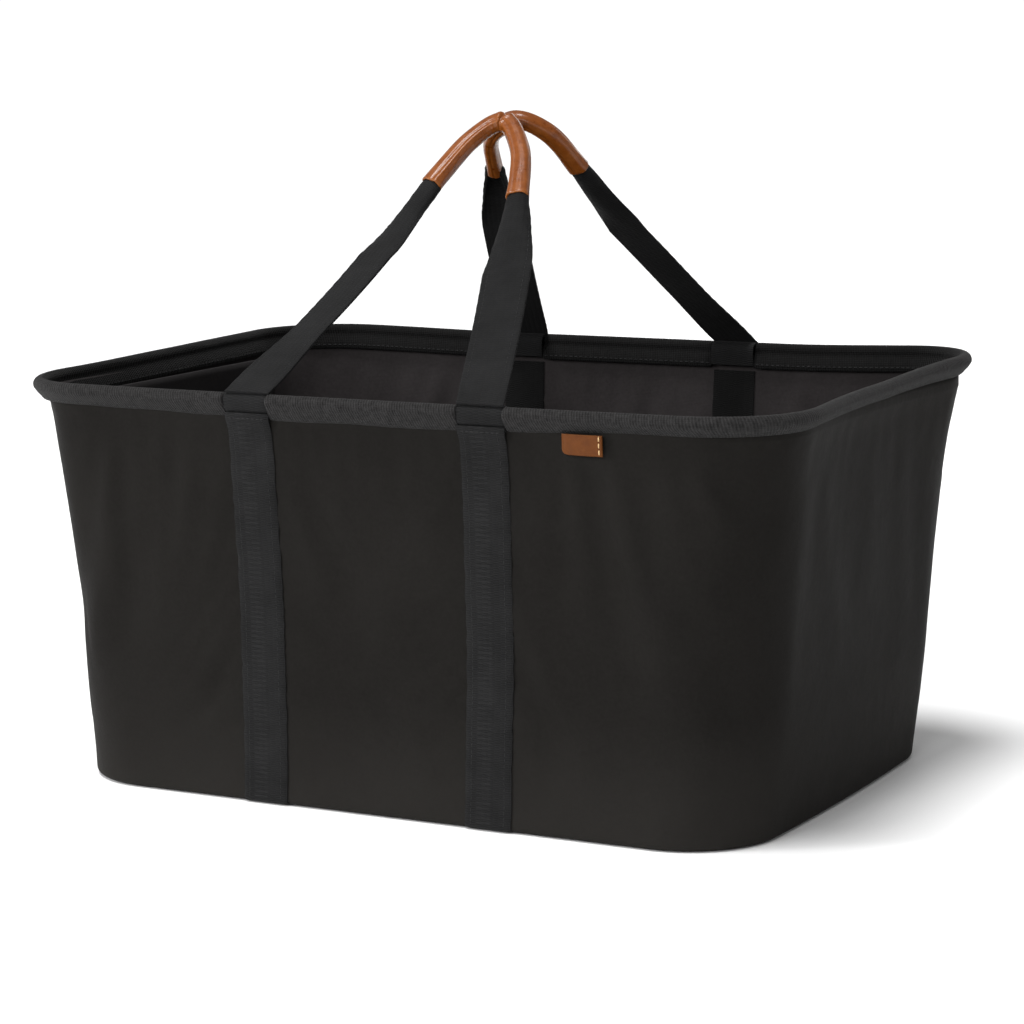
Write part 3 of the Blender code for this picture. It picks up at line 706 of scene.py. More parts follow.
def puff(x, y, z):
    """How far the fabric stands out from its ruled shape at a point."""
    long_side = smooth((np.abs(y) - 0.125) / 0.04)
    gate, distance = strap_gate(x - lean(z), y, z)
    ends = smooth((z - 0.012) / 0.045) * smooth((0.262 - z) / 0.030)
    folds = np.where(y < 0, fold_sum(x, z, FRONT_FOLDS), fold_sum(x, z, BACK_FOLDS)) * long_side
    end_folds = 0.30 * fold_sum(y * np.where(x > 0, 1.0, -1.0), z, END_FOLDS) * (1 - long_side)
    big = (0.0034 * noise_at(x * 7.0, y * 7.0, z * 6.0, 1.0)
           + 0.0013 * noise_at(x * 17.0, y * 17.0, z * 13.0, 2.0))
    big = big * np.where(long_side > 0.5, 1.0, 0.6)
    out = (folds * gate + end_folds + big * (0.25 + 0.75 * gate)) * ends
    # small puckers beside the bands
    near = np.exp(-np.clip(distance, 0, 1) / 0.0075) * (distance > -0.002) * ends
    phase = 5.0 * noise_at(x * 30, y * 30, z * 25, 4.0)
    out += 0.00055 * near * np.sin(z * TAU / 0.017 + phase)
    # and under the rim tape
    under = np.exp(-np.clip(0.262 - z, 0, 1) / 0.016) * smooth((0.2655 - z) / 0.006)
    round_bag = np.arctan2(y, x) * 0.25
    phase = 4.0 * noise_at(x * 22, y * 22, z * 9, 5.0)
    out += (0.00028 + 0.00030 * long_side) * under * np.sin(round_bag * TAU / 0.021 + phase)
    # unevenness just above the base
    low = np.exp(-np.clip(z - 0.014, 0, 1) / 0.020) * smooth((z - 0.006) / 0.012)
    out += 0.0006 * low * noise_at(x * 38, y * 38, z * 30, 6.0)
    return out


# ------------------------------------------------------------------ shell: one continuous skin
def shell_skin():
    """Underside from the middle outwards, then up the wall to an open top."""
    heights = [UNDERSIDE_Z] + [turn_z(90 * k / 7) for k in range(1, 7)]
    heights += list(np.linspace(BASE_Z, TOP_Z, 52))
    heights += [0.2558, 0.2577, 0.2596, 0.2615, 0.2634, 0.2650, WALL_TOP_Z, 0.2700, 0.2745]
    reference = outline(*wall_shape(0.2))
    around = arc_length(np.vstack([reference, reference[:1]]))
    size = len(reference)
    rows, along = [], []
    base = outline(*wall_shape(UNDERSIDE_Z))
    base[:, 0] += float(lean(UNDERSIDE_Z))
    for share in (0.15, 0.35, 0.55, 0.75, 0.9):
        rows.append(np.c_[base * share, np.full(size, UNDERSIDE_Z)])
        along.append(-0.17 * (1 - share))
    climbed = 0.0
    last = None
    for z in heights:
        points = outline(*wall_shape(min(z, WALL_TOP_Z)))
        normals = outward(points)
        level = np.full(size, z)
        if z <= WALL_TOP_Z:
            out = puff(points[:, 0] + lean(z), points[:, 1], level)
            points = points + normals * out[:, None]
        points[:, 0] += lean(z)
        rows.append(np.c_[points, level])
        if last is not None:
            climbed += float(np.mean(np.linalg.norm(rows[-1] - last, axis=1)))
        last = rows[-1]
        along.append(climbed)
    uv = np.stack(np.meshgrid(around, along), -1)
    faces = tube_faces(len(rows), size) + [tuple(reversed(range(size)))]
    corners = tube_uv(uv) + [uv[0, :size][::-1]]
    return make("bag_shell", np.vstack(rows), faces, corners, (SHELL, LINING))


def slack_cloth(ob):
    """Lets the fabric find its own small folds: rim, base and band lines held, walls
    slightly longer than their span."""
    frames = 24
    co = np.array([v.co for v in ob.data.vertices])
    x, y, z = co.T
    work = ob.copy()
    work.data = ob.data.copy()
    coll.objects.link(work)
    hold = np.maximum(smooth((0.024 - z) / 0.008), smooth((z - 0.252) / 0.008))
    _, distance = strap_gate(x - lean(z), y, z)
    hold = np.maximum(hold, smooth((0.002 - distance) / 0.004))
    group = work.vertex_groups.new(name="hold")
    for i, weight in enumerate(hold):
        if weight > 0.01:
            group.add([i], float(weight), 'REPLACE')
    cloth = work.modifiers.new("cloth", 'CLOTH')
    settings = cloth.settings
    settings.quality = 5
    settings.mass = 0.25
    settings.tension_stiffness = settings.compression_stiffness = 18
    settings.shear_stiffness = 8
    settings.bending_stiffness = 0.6
    settings.air_damping = 3
    settings.tension_damping = settings.compression_damping = 12
    settings.vertex_group_mass = "hold"
    settings.shrink_min = settings.shrink_max = -0.007
    settings.effector_weights.gravity = 0.35
    settings.use_pressure = True
    settings.uniform_pressure_force = 0.06
    cloth.collision_settings.use_collision = False
    cloth.point_cache.frame_start = 1
    cloth.point_cache.frame_end = frames
    scene = bpy.context.scene
    for frame in range(1, frames + 1):
        scene.frame_set(frame)
        depsgraph = bpy.context.evaluated_depsgraph_get()
    settled = np.empty(co.size)
    work.evaluated_get(depsgraph).data.vertices.foreach_get("co", settled)
    scene.frame_set(1)
    bpy.data.objects.remove(work)
    # only part of the movement is kept: capped, mostly high on the long sides
    move = settled.reshape(-1, 3) - co
    length = np.linalg.norm(move, axis=1)
    cap = 0.0045
    move *= (cap * np.tanh(length / cap) / np.maximum(length, 1e-9))[:, None]
    long_side = smooth((np.abs(y) - 0.135) / 0.04)
    share = smooth((z - 0.022) / 0.075) * smooth((0.262 - z) / 0.02) * (0.22 + 0.58 * long_side)
    move *= ((1 - hold) * share)[:, None]
    ob.data.vertices.foreach_set("co", (co + move).ravel())
    ob.data.update()


def thicken(ob):
    """Gives the skin its thickness, lining inside, and applies it."""
    solid = ob.modifiers.new("thick", 'SOLIDIFY')
    solid.thickness = WALL_THICK
    solid.offset = -1
    solid.material_offset = 1
    solid.material_offset_rim = 0
    depsgraph = bpy.context.evaluated_depsgraph_get()
    mesh = bpy.data.meshes.new_from_object(
        ob.evaluated_get(depsgraph), preserve_all_data_layers=True, depsgraph=depsgraph)
    old = ob.data
    ob.modifiers.clear()
    ob.data = mesh
    bpy.data.meshes.remove(old)


def shell():
    ob = shell_skin()
    slack_cloth(ob)
    thicken(ob)
    register(ob, "base", collapses=True, replaces=(
        "front_wall", "back_wall", "left_end_wall_lower", "left_end_wall_upper",
        "right_end_wall_lower", "right_end_wall_upper", "bottom_panel"))


shell()


# ------------------------------------------------------------------ webbing bands round the body
HEM_OUT = 0.0027                 # the band stands this much prouder at its upper hems
BAND_THICK = 0.0016
BAND_ACROSS = np.linspace(-1, 1, 15)
# heights of a band's sections from the upper hem down to the underside
BAND_LEVELS = [0.2690, 0.2682, 0.2670, WALL_TOP_Z, 0.2635, 0.2610, 0.2580, 0.2560, TOP_Z]
BAND_LEVELS += list(np.linspace(TOP_Z, BASE_Z, 58)[1:])
BAND_LEVELS += [turn_z(90 * (1 - k / 8)) for k in range(1, 8)]


def band_section(z, sx, sy):
    """Outer and inner points of a band at one height on the front or back wall."""
    across = BAND_ACROSS
    centre = strap_x(z, sx, sy)
    wobble = 0.0002 * math.sin(z * 60 + sx) + 0.0001 * math.sin(z * 170 + 2 * sy)
    x = centre + wobble + across * STRAP_HALF
    y = wall_y(x, min(z, WALL_TOP_Z))
    if z <= WALL_TOP_Z:
        y = y + puff(x, sy * y, z)
    # outward direction in y and z, from the wall's slope; it levels out at the hem
    step = 0.0008
    probe = min(max(z, BASE_Z + 0.0012), WALL_TOP_Z - step)
    slope = (wall_y(centre, probe + step) - wall_y(centre, probe - step)) / (2 * step)
    normal_y, normal_z = unit(np.array([1.0, -slope]))
    hem = float(smooth((z - 0.2560) / 0.0100))
    if z > 0.2600:
        normal_y, normal_z = lerp(normal_y, 1.0, hem), lerp(normal_z, 0.0, hem)
    phase = 3 * noise_at(x * 40, z * 60, sx + sy, 7.0)
    ripple = 0.00018 * np.sin(z * TAU / 0.011 + phase)
    ridge = edge_ridge(across, ridge=0.00022, ridge_at=0.90, ridge_width=0.045,
                       groove=0.00030, groove_at=0.80)
    near = CLOTH_GAP + HEM_OUT * hem
    far = near + BAND_THICK * edge_taper(across, power=14, thinnest=0.35) + ridge + ripple
    return (xyz(x, sy * (y + far * normal_y), z + far * normal_z),
            xyz(x, sy * (y + near * normal_y), z + near * normal_z))


def band(side, sx):
    """One band: down the front wall, under the base and up the back wall."""
    across = BAND_ACROSS
    sections = [band_section(z, sx, -1) for z in BAND_LEVELS]
    end_y = BASE_HALF_Y - TURN
    for y in np.linspace(-end_y, end_y, 26)[1:-1]:
        x = (sx * STRAP_X_LOW - STRAP_SKEW * smooth((0.10 - y) / 0.20) + float(lean(0))
             + across * STRAP_HALF)
        sections.append((xyz(x, y, 0.0001 + 0.0001 * (np.abs(across) > 0.95)),
                         xyz(x, y, 0.0012)))
    sections += [band_section(z, sx, 1) for z in BAND_LEVELS][::-1]
    outer, inner = (np.array(points) for points in zip(*sections))
    # keep the turn under the base above the floor
    outer[:, :, 2] = np.maximum(outer[:, :, 2], 0.0001)
    inner[:, :, 2] = np.maximum(inner[:, :, 2], 0.0008)
    along = arc_length(outer[:, len(across) // 2])
    ob = loft_strap(side + "_webbing_band", outer, inner, STRAP_HALF, along, WEB_WALL)
    register(ob, "base", collapses=True, replaces=(
        "front_%s_wall_strap" % side, "back_%s_wall_strap" % side, side + "_base_strap"))
    # stitches along both edges on both walls, and a bar across each hem
    rows = []
    count, wall_count = len(outer), len(BAND_LEVELS)
    for sy, run, hem in ((-1, slice(2, wall_count - 6), 3),
                         (1, slice(count - wall_count + 6, count - 2), count - 4)):
        for column in (2, len(across) - 3):
            rows.append(stitch_row(outer[run, column], [0, sy, -0.08], **BAND_STITCH))
        rows.append(stitch_row(outer[hem, 1:-1], [0, sy, 0.0], **BAR_STITCH))
    sew(side + "_band_stitching", rows, "base", collapses=True)


for side, sx in SIDES:
    band(side, sx)


# ------------------------------------------------------------------ straps inside the walls
def inner_strap(corner, sx, sy):
    levels = list(np.linspace(0.0125, TOP_Z, 44)) + [0.2565, 0.2590, 0.2610, 0.2630]
    across = np.linspace(-1, 1, 11)
    half = STRAP_HALF - 0.0005
    thick = 0.0013 * edge_taper(across, power=12)
    wall_side, bag_side = [], []
    for z in levels:
        x = strap_x(z, sx, sy) + across * half
        y = wall_y(x, z)
        y = y + puff(x, sy * y, z) - WALL_THICK - CLOTH_GAP
        wall_side.append(xyz(x, sy * y, z))
        bag_side.append(xyz(x, sy * (y - thick), z))
    ob = loft_strap(corner + "_inner_band", np.array(bag_side), np.array(wall_side), half,
                    levels, WEB_INNER)
    register(ob, "base", replaces=(corner + "_inner_strap",), collapses=True)


for corner, sx, sy in CORNERS:
    inner_strap(corner, sx, sy)


# ------------------------------------------------------------------ rim tape
def rim_line(**segments):
    return outline(RIM_HALF_X - RIM_INSET, RIM_HALF_Y - RIM_INSET, RIM_CORNER - RIM_INSET,
                   RIM_BOW_X, RIM_BOW_Y, **segments)


RIM = rim_line(corner=40, side_x=260, side_y=90)
RIM_NORMALS = outward(RIM)
WINDOW = STRAP_HALF - 0.0003     # half the gap left in the tape for a webbing loop
TAPE_THICK = 0.0013


def rim_shift(points):
    """Moves rim points with the lean; the front sags, the right end and left end rise."""
    points = np.asarray(points, float).copy()
    x, y = points[..., 0].copy(), points[..., 1]
    points[..., 2] -= 0.0018 * smooth((-y - 0.02) / 0.16)
    points[..., 2] += 0.0042 * smooth((x - 0.12) / 0.17) * smooth((y + 0.02) / 0.17)
    points[..., 2] += 0.0022 * smooth((-x - 0.08) / 0.17) * smooth((y + 0.12) / 0.20)
    points[..., 0] += LEAN - 0.0020 * smooth((x - 0.20) / 0.08) * smooth((y + 0.02) / 0.10)
    return points


def rim_run(kind):
    """Points and normals of the rim line under one run of tape, cut square at the loops."""
    x, y = RIM.T
    near, far = STRAP_X - WINDOW, STRAP_X + WINDOW
    # which points, and the x of the first and last cut
    inside, first_x, last_x = {
        "front": ((y < -0.15) & (np.abs(x) < near), -near, near),
        "back": ((y > 0.15) & (np.abs(x) < near), near, -near),
        "right": (x > far, far, far),
        "left": (x < -far, -far, -far)}[kind]
    start = np.flatnonzero(inside & ~np.roll(inside, 1))[0]
    run = (start + np.arange(inside.sum())) % len(RIM)
    before, after = RIM[run[0] - 1], RIM[(run[-1] + 1) % len(RIM)]

    def cut(cut_x, p, q):
        return lerp(p, q, (cut_x - p[0]) / (q[0] - p[0]))

    points, normals = RIM[run], RIM_NORMALS[run]
    points = np.vstack([cut(first_x, before, points[0]), points,
                        cut(last_x, points[-1], after)])
    return points, np.vstack([normals[:1], normals, normals[-1:]])


def tape_profile():
    """(outward, z) of the folded tape: up the outer face, over the wire, down the inner."""
    profile = [(0.0014, 0.2679), (0.0027, 0.2685), (0.0039, 0.2699),
               (0.0055, 0.2719), (0.0072, 0.2740), (0.0086, 0.2761)]
    radius = 0.0050
    for a in np.radians(np.linspace(-18, 200, 17)):
        profile.append((0.0046 + radius * math.cos(a), WIRE_Z + 0.0004 + radius * math.sin(a)))
    profile += [(-0.0014, 0.2748), (-0.0026, 0.2726), (-0.0036, 0.2704),
                (-0.0043, 0.2684), (-0.0046, 0.2668), (-0.0042, 0.2654)]
    return np.array(profile)


def rim_tape(kind):
    line, line_normals = rim_run(kind)
    reach = arc_length(line)
    total = reach[-1]
    # even, fine spacing, plus extra sections that round off each cut end
    close_steps = np.array([0.0006, 0.0015, 0.0028])
    along = np.unique(np.concatenate([np.linspace(0, total, int(total / 0.0030) + 1),
                                      close_steps, total - close_steps]))
    points = sample(along, reach, line)
    normals = unit(sample(along, reach, line_normals))
    x, y = points.T

    face = tape_profile()
    size = len(face)
    tangent = unit(np.vstack([face[1:], face[-1:]]) - np.vstack([face[:1], face[:-1]]))
    under = face + TAPE_THICK * np.stack([-tangent[:, 1], tangent[:, 0]], 1)
    down = smooth((0.2762 - face[:, 1]) / 0.007)         # 1 on the lower part of the tape

    to_end = np.clip(np.minimum(along, total - along) / close_steps[-1], 0, 1)
    scale = 0.90 + 0.10 * np.sqrt(np.clip(1 - (1 - to_end) ** 2, 0, 1))
    wave = 0.00035 * noise_at(x * 34, y * 34, 0.0, 8.0)
    # height of the outer lower edge: narrower towards the right and round the ends
    edge_rise = (0.0006 * noise_at(x * 26, y * 26, 1.0, 9.0) - 0.0014 * (np.abs(x) < 0.08)
                 + 0.0021 * smooth((x - 0.10) / 0.10) * smooth((0.14 - y) / 0.12)
                 + 0.0008 * smooth((np.abs(x) - 0.12) / 0.08))
    pleat = 0.00016 * np.sin(along * TAU / 0.0062 + 4 * noise_at(x * 60, y * 60, 0.0, 3.0))

    sections = []
    for i, factor in enumerate(scale):
        face_out = (face[:, 0] * factor
                    + np.sign(face[:, 0]) * (wave[i] + pleat[i] * (0.4 + down)))
        under_out = under[:, 0] * factor + np.sign(under[:, 0]) * wave[i]
        rise = edge_rise[i] * down * (face_out > 0)
        face_z = WIRE_Z + (face[:, 1] - WIRE_Z) * factor + rise
        under_z = WIRE_Z + (under[:, 1] - WIRE_Z) * factor + rise
        out = np.concatenate([face_out, under_out[::-1]])
        sections.append(np.c_[points[i] + np.outer(out, normals[i]),
                              np.concatenate([face_z, under_z[::-1]])])
    sections = rim_shift(sections)

    around = arc_length(face)
    around = np.concatenate([around, around[::-1], [0.0]])
    uv = np.stack(np.meshgrid(along, around, indexing="ij"), -1)
    # painted shade: from the top of the fold inwards the tape takes its darker copy, standing in
    # for the shade inside the bag
    outer = int(np.argmax(face[:, 1])) + 1
    inner = size - outer
    index = [0] * outer + [1] * inner + [1] * inner + [0] * outer
    ob = loft(kind + "_rim_tape", sections, uv, (TAPE, TAPE_PAINTED_SHADE), sharp=70,
              material_index=index)
    register(ob, "rim", replaces=(kind + "_binding",))
    rows = []
    for column, sign in ((2, 1.0), (size - 3, -1.0)):
        facing = np.c_[normals * sign, np.zeros(len(normals))]
        rows.append(stitch_row(sections[2:-2, column], facing[2:-2], **TAPE_STITCH))
    sew(kind + "_tape_stitching", rows, "rim")


for kind in ("front", "back", "left", "right"):
    rim_tape(kind)


# ------------------------------------------------------------------ webbing loops round the wire
# middle of the webbing's thickness, (outward, z) about the wire, from outside over to inside
LOOP_PATH = (
    (0.0018, -0.0115), (0.0020, -0.0090), (0.0030, -0.0068), (0.0054, -0.0054),
    (0.0064, -0.0025), (0.0072, 0.0005), (0.0066, 0.0030), (0.0044, 0.0044), (0.0020, 0.0047),
    (-0.0010, 0.0046), (-0.0034, 0.0036), (-0.0047, 0.0012), (-0.0049, -0.0030),
    (-0.0048, -0.0070), (-0.0046, -0.0110),
)


def handle_loop(corner, sx, sy):
    """The end of the handle webbing folded over the wire."""
    back_rim = RIM[RIM[:, 1] > 0.15][::-1]
    wire_y = float(np.interp(STRAP_X, *back_rim.T))
    path = np.array(LOOP_PATH)
    path = sample(np.linspace(0, len(path) - 1, 40), np.arange(len(path)), path)
    relax(path, 3)
    tangent = unit(np.gradient(path, axis=0))
    across = np.linspace(-1, 1, 15)
    half = STRAP_HALF - 0.0002
    x = sx * STRAP_X + across * half
    bow = RIM_BOW_Y * ((STRAP_X / RIM_HALF_X) ** 2 - (x / RIM_HALF_X) ** 2)
    thick = 0.0011 * edge_taper(across, power=14)
    outer, inner = [], []
    for (out, z), (tangent_out, tangent_z) in zip(path, tangent):
        for side, depth in ((outer, thick), (inner, -0.0009)):
            side.append(xyz(x, sy * (wire_y + bow + out + tangent_z * depth),
                            WIRE_Z + z - tangent_out * depth))
    ob = loft_strap(corner + "_rim_loop", rim_shift(outer), rim_shift(inner), half,
                    arc_length(path), WEB)
    register(ob, "rim", replaces=(corner + "_handle_loop",))


for corner, sx, sy in CORNERS:
    handle_loop(corner, sx, sy)


# ------------------------------------------------------------------ handles
# A handle lies in a plane from its hinge line at the rim up to its apex near the middle.
HINGE_Y, HINGE_Z = 0.2010, 0.2828
APEX_Y, APEX_Z = 0.0105, 0.4525
LEG = math.hypot(HINGE_Y - APEX_Y, APEX_Z - HINGE_Z)
HANDLE_STEPS = 300
HANDLE_THICK = 0.0019
GRIP_SIDES = 56
GRIP_WALL = 0.0016

# arch: left to right, (x, share of LEG up from the hinge), the fifth point being the apex;
# grip_ends: two such points; twist: degrees one leg is turned, and which leg;
# roll_width: size of the roll inside the grip, left and right half;
# flips: 1 where the right leg's edges curl the other way; left_slim: how much thinner the
# grip's left part is; pinch: depth of a nip at the grip's apex and height of its shoulders
HANDLES = {
    "front": SimpleNamespace(
        sy=-1,
        arch=((-0.0825, 0.000), (-0.0503, 0.385), (-0.0217, 0.768), (-0.0088, 0.928),
              (0.0084, 1.000), (0.0268, 0.930), (0.0430, 0.785), (0.0690, 0.380),
              (0.0915, 0.000)),
        grip_ends=((-0.0206, 0.781), (0.0462, 0.742)), twist=-15.0, twist_leg="left",
        roll_width=(0.70, 0.70), flips=0, left_slim=0.0, pinch=(0.0036, 0.0006)),
    "back": SimpleNamespace(
        sy=1,
        arch=((-0.0840, 0.000), (-0.0590, 0.380), (-0.0328, 0.757), (-0.0195, 0.920),
              (0.0070, 1.000), (0.0275, 0.944), (0.0360, 0.814), (0.0442, 0.640),
              (0.0636, 0.395), (0.0905, 0.000)),
        grip_ends=((-0.0295, 0.800), (0.0340, 0.822)), twist=7.0, twist_leg="right",
        roll_width=(0.52, 0.70), flips=1, left_slim=0.27, pinch=(0.0, 0.0)),
}


def catmull(control, per=40):
    """Smooth curve through control points, with per steps between each two."""
    c = np.asarray(control, float)
    t = (np.arange(per) / per)[:, None]
    out = []
    for i in range(len(c) - 1):
        p0, p1, p2, p3 = c[max(i - 1, 0)], c[i], c[i + 1], c[min(i + 2, len(c) - 1)]
        out.append(0.5 * (2 * p1 + (p2 - p0) * t + (2 * p0 - 5 * p1 + 4 * p2 - p3) * t ** 2
                          + (3 * p1 - p0 - 3 * p2 + p3) * t ** 3))
    return np.vstack(out + [c[-1:]])


def handle_path(shape):
    """Centre line of a handle, with its across and facing directions at every step."""
    sy = shape.sy
    x_axis = np.array([1.0, 0, 0])
    rise = np.array([0, -sy * (HINGE_Y - APEX_Y), APEX_Z - HINGE_Z]) / LEG
    normal = -sy * np.cross(x_axis, rise)                # outwards and up
    raw = catmull([(x, share * LEG) for x, share in shape.arch])
    reach = arc_length(raw)
    total = reach[-1]
    along = np.linspace(0, total, HANDLE_STEPS)
    flat = sample(along, reach, raw)
    heading = unit(np.gradient(flat, axis=0))
    relax(heading, 6)
    # the lower ends run straight off the hinge, full width square to the rim
    free = smooth(np.minimum(along, total - along) / 0.030)[:, None]
    square = np.stack([np.zeros(HANDLE_STEPS), np.where(along < total / 2, 1.0, -1.0)], 1)
    heading = unit(heading * free + square * (1 - free))
    origin = np.array([0, sy * HINGE_Y, HINGE_Z])
    centre = origin + flat[:, :1] * x_axis + flat[:, 1:] * rise
    across = np.cross(normal, heading[:, :1] * x_axis + heading[:, 1:] * rise)

    def nearest(point):
        return int(np.argmin(np.linalg.norm(flat - np.array(point) * [1, LEG], axis=1)))

    start, end = (nearest(point) for point in shape.grip_ends)
    # one leg hangs a little turned between rim and grip
    if shape.twist_leg == "left":
        from_rim, to_grip = along, along[start] - along
    else:
        from_rim, to_grip = total - along, along - along[end]
    twist = np.radians(shape.twist) * smooth(from_rim / 0.07) * smooth(to_grip / 0.03)
    cos, sin = np.cos(twist)[:, None], np.sin(twist)[:, None]
    return SimpleNamespace(
        along=along, total=total, centre=centre, normal=normal, start=start, end=end,
        across=across * cos + normal * sin, facing=normal * cos - across * sin,
        apex=float(along[nearest(shape.arch[4])]))


def handle_webbing(name, shape, path):
    """Webbing: flat at the rim, curling into a roll before it enters the grip."""
    along, total = path.along, path.total
    grip_start, grip_end = along[path.start], along[path.end]
    outside = np.maximum(np.maximum(grip_start - along, along - grip_end), 0.0)
    t = np.clip(outside / 0.072, 0, 1)
    chord = 0.40 + 0.60 * (0.35 * t + 0.65 * smooth(t))
    # angle the section is bent through, found from the width it should span
    angles = np.linspace(0.10, 5.1, 200)
    widths = np.where(angles < math.pi, np.sin(angles / 2) / (angles / 2), 2 / angles)
    bend = np.interp(chord, widths[::-1], angles[::-1])
    curl = (bend - 0.10) / 5.0
    deep = smooth((np.minimum(along - grip_start, grip_end - along) + 0.0015) / 0.0045)
    sag = 0.0032 * (np.sin(np.pi * np.clip(along / grip_start, 0, 1))
                    + np.sin(np.pi * np.clip((total - along) / (total - grip_end), 0, 1)))
    curl_side = 1 - 2 * shape.flips * smooth((along - total * 0.52) / 0.012)
    across = np.linspace(-1, 1, 25)
    taper = HANDLE_THICK / 2 * edge_taper(across, power=16)
    ridge = edge_ridge(across, ridge=0.0002, ridge_at=0.91, ridge_width=0.04,
                       groove=0.00025, groove_at=0.82)
    outer, inner = [], []
    for i, at in enumerate(along):
        radius = STRAP_W / bend[i]
        angle = across * bend[i] / 2
        slim = lerp(1.0, shape.roll_width[int(at > total / 2)], deep[i])
        squeeze = lerp(lerp(0.42, 0.62, curl[i]), 0.60, deep[i]) * slim
        sideways = radius * np.sin(angle) * lerp(1.0, 0.95, curl[i]) * slim
        depth = -curl_side[i] * radius * (1 - np.cos(angle)) * squeeze
        lift = -0.5 * float(depth[0]) * smooth(curl[i] * 1.6)
        normal_across, normal_facing = curl_side[i] * np.sin(angle), np.cos(angle)
        centre = path.centre[i] + path.facing[i] * (lift - sag[i])
        ripple = 0.00012 * np.sin(at * TAU / 0.009 + across * 2.0)
        for side, out in ((outer, taper + ripple + ridge), (inner, -HANDLE_THICK / 2)):
            side.append(centre + np.outer(sideways + normal_across * out, path.across[i])
                        + np.outer(depth + normal_facing * out, path.facing[i]))
    outer, inner = np.array(outer), np.array(inner)
    ob = loft_strap(name + "_handle_strap", outer, inner, STRAP_HALF, along, WEB)
    register(ob, name + "_handle", replaces=(name + "_handle_webbing",))
    rows = []
    for column in (3, len(across) - 4):
        for leg in (slice(14, path.start - 18), slice(path.end + 18, HANDLE_STEPS - 14)):
            rows.append(stitch_row(outer[leg, column], path.normal, **HANDLE_STITCH))
    sew(name + "_handle_stitching", rows, name + "_handle")


def grip(name, shape, path):
    """Leather sleeve: outer skin, rolled lips at both ends and the inside, as a closed tube."""
    pad = 3                                  # steps past each end point
    along = np.linspace(path.along[path.start - pad], path.along[path.end + pad], 170)
    centre = sample(along, path.along, path.centre)
    across = unit(sample(along, path.along, path.across))
    length = along[-1] - along[0]
    angle = TAU * np.arange(GRIP_SIDES) / GRIP_SIDES
    cos, sin = np.cos(angle), np.sin(angle)

    def bump_at(where, width):
        return np.exp(-(np.angle(np.exp(1j * (angle - where))) / width) ** 2)

    # a sewn ridge along the upper outer edge, a dip beside it and the seam below
    seams = 0.00075 * bump_at(2.35, 0.17) - 0.00045 * bump_at(1.95, 0.20)
    seams = seams - 0.0007 * bump_at(-1.45, 0.07)
    bend_inside = np.clip(shape.sy * cos, 0, 1)
    pinch_face = 0.35 + 0.65 * np.clip(sin * 0.9 + cos * 0.2, 0, 1)
    power = 2.35                             # of the rounded section
    nip, shoulder = shape.pinch
    outer, inner = [], []
    for i, at in enumerate(along):
        share = (at - along[0]) / length
        flare = np.exp(-min(share, 1 - share) / 0.10)
        half_width = 0.0068 + 0.0013 * flare
        half_width *= 1.0 - shape.left_slim * float(smooth((path.apex - 0.012 - at) / 0.02))
        half_height = 0.0056 + 0.0003 * flare
        plain = (np.abs(cos / half_width) ** power
                 + np.abs(sin / half_height) ** power) ** (-1 / power)
        uneven = (0.00022 * noise_at(cos * 3.0, sin * 3.0, at * 60.0, 12.0 + shape.sy)
                  + 0.0003 * noise_at(cos * 1.3, sin * 1.3, at * 24.0, 15.0 + shape.sy))
        bend = math.exp(-((at - path.apex) / 0.022) ** 2)
        creases = (-0.00035 * bend * bend_inside
                   * (0.5 + 0.5 * np.sin(at * TAU / 0.0045 + 1.5 * cos)))
        q = (at - (path.apex + 0.0012)) / 0.0011
        pinch = (-nip * math.exp(-q * q) * pinch_face
                 + shoulder * math.exp(-((abs(q) - 2.6) / 1.2) ** 2))
        skin = plain + seams + uneven + creases + pinch
        for side, radius in ((outer, skin), (inner, plain - GRIP_WALL)):
            side.append(centre[i] + np.outer(radius * cos, across[i])
                        + np.outer(radius * sin, path.normal))
    outer, inner = np.array(outer), np.array(inner)
    lip = 0.0007
    first_lip = (outer[0] + inner[0]) / 2 - unit(centre[1] - centre[0]) * lip
    last_lip = (outer[-1] + inner[-1]) / 2 + unit(centre[-1] - centre[-2]) * lip
    rings = np.concatenate([outer, [last_lip], inner[::-1], [first_lip]])
    run = along - along[0]
    u = np.concatenate([run, [length + 0.001], run[::-1], [-0.001]])
    v = np.arange(GRIP_SIDES + 1) / GRIP_SIDES * 0.045
    uv = np.stack(np.meshgrid(u, v, indexing="ij"), -1)
    ob = make(name + "_leather_grip", rings.reshape(-1, 3),
              tube_faces(len(rings), GRIP_SIDES, closed=True), tube_uv(uv, closed=True),
              (LEATHER,))
    fix_normals(ob)
    register(ob, name + "_handle", replaces=(name + "_grip",))


for name, shape in HANDLES.items():
    path = handle_path(shape)
    handle_webbing(name, shape, path)
    grip(name, shape, path)


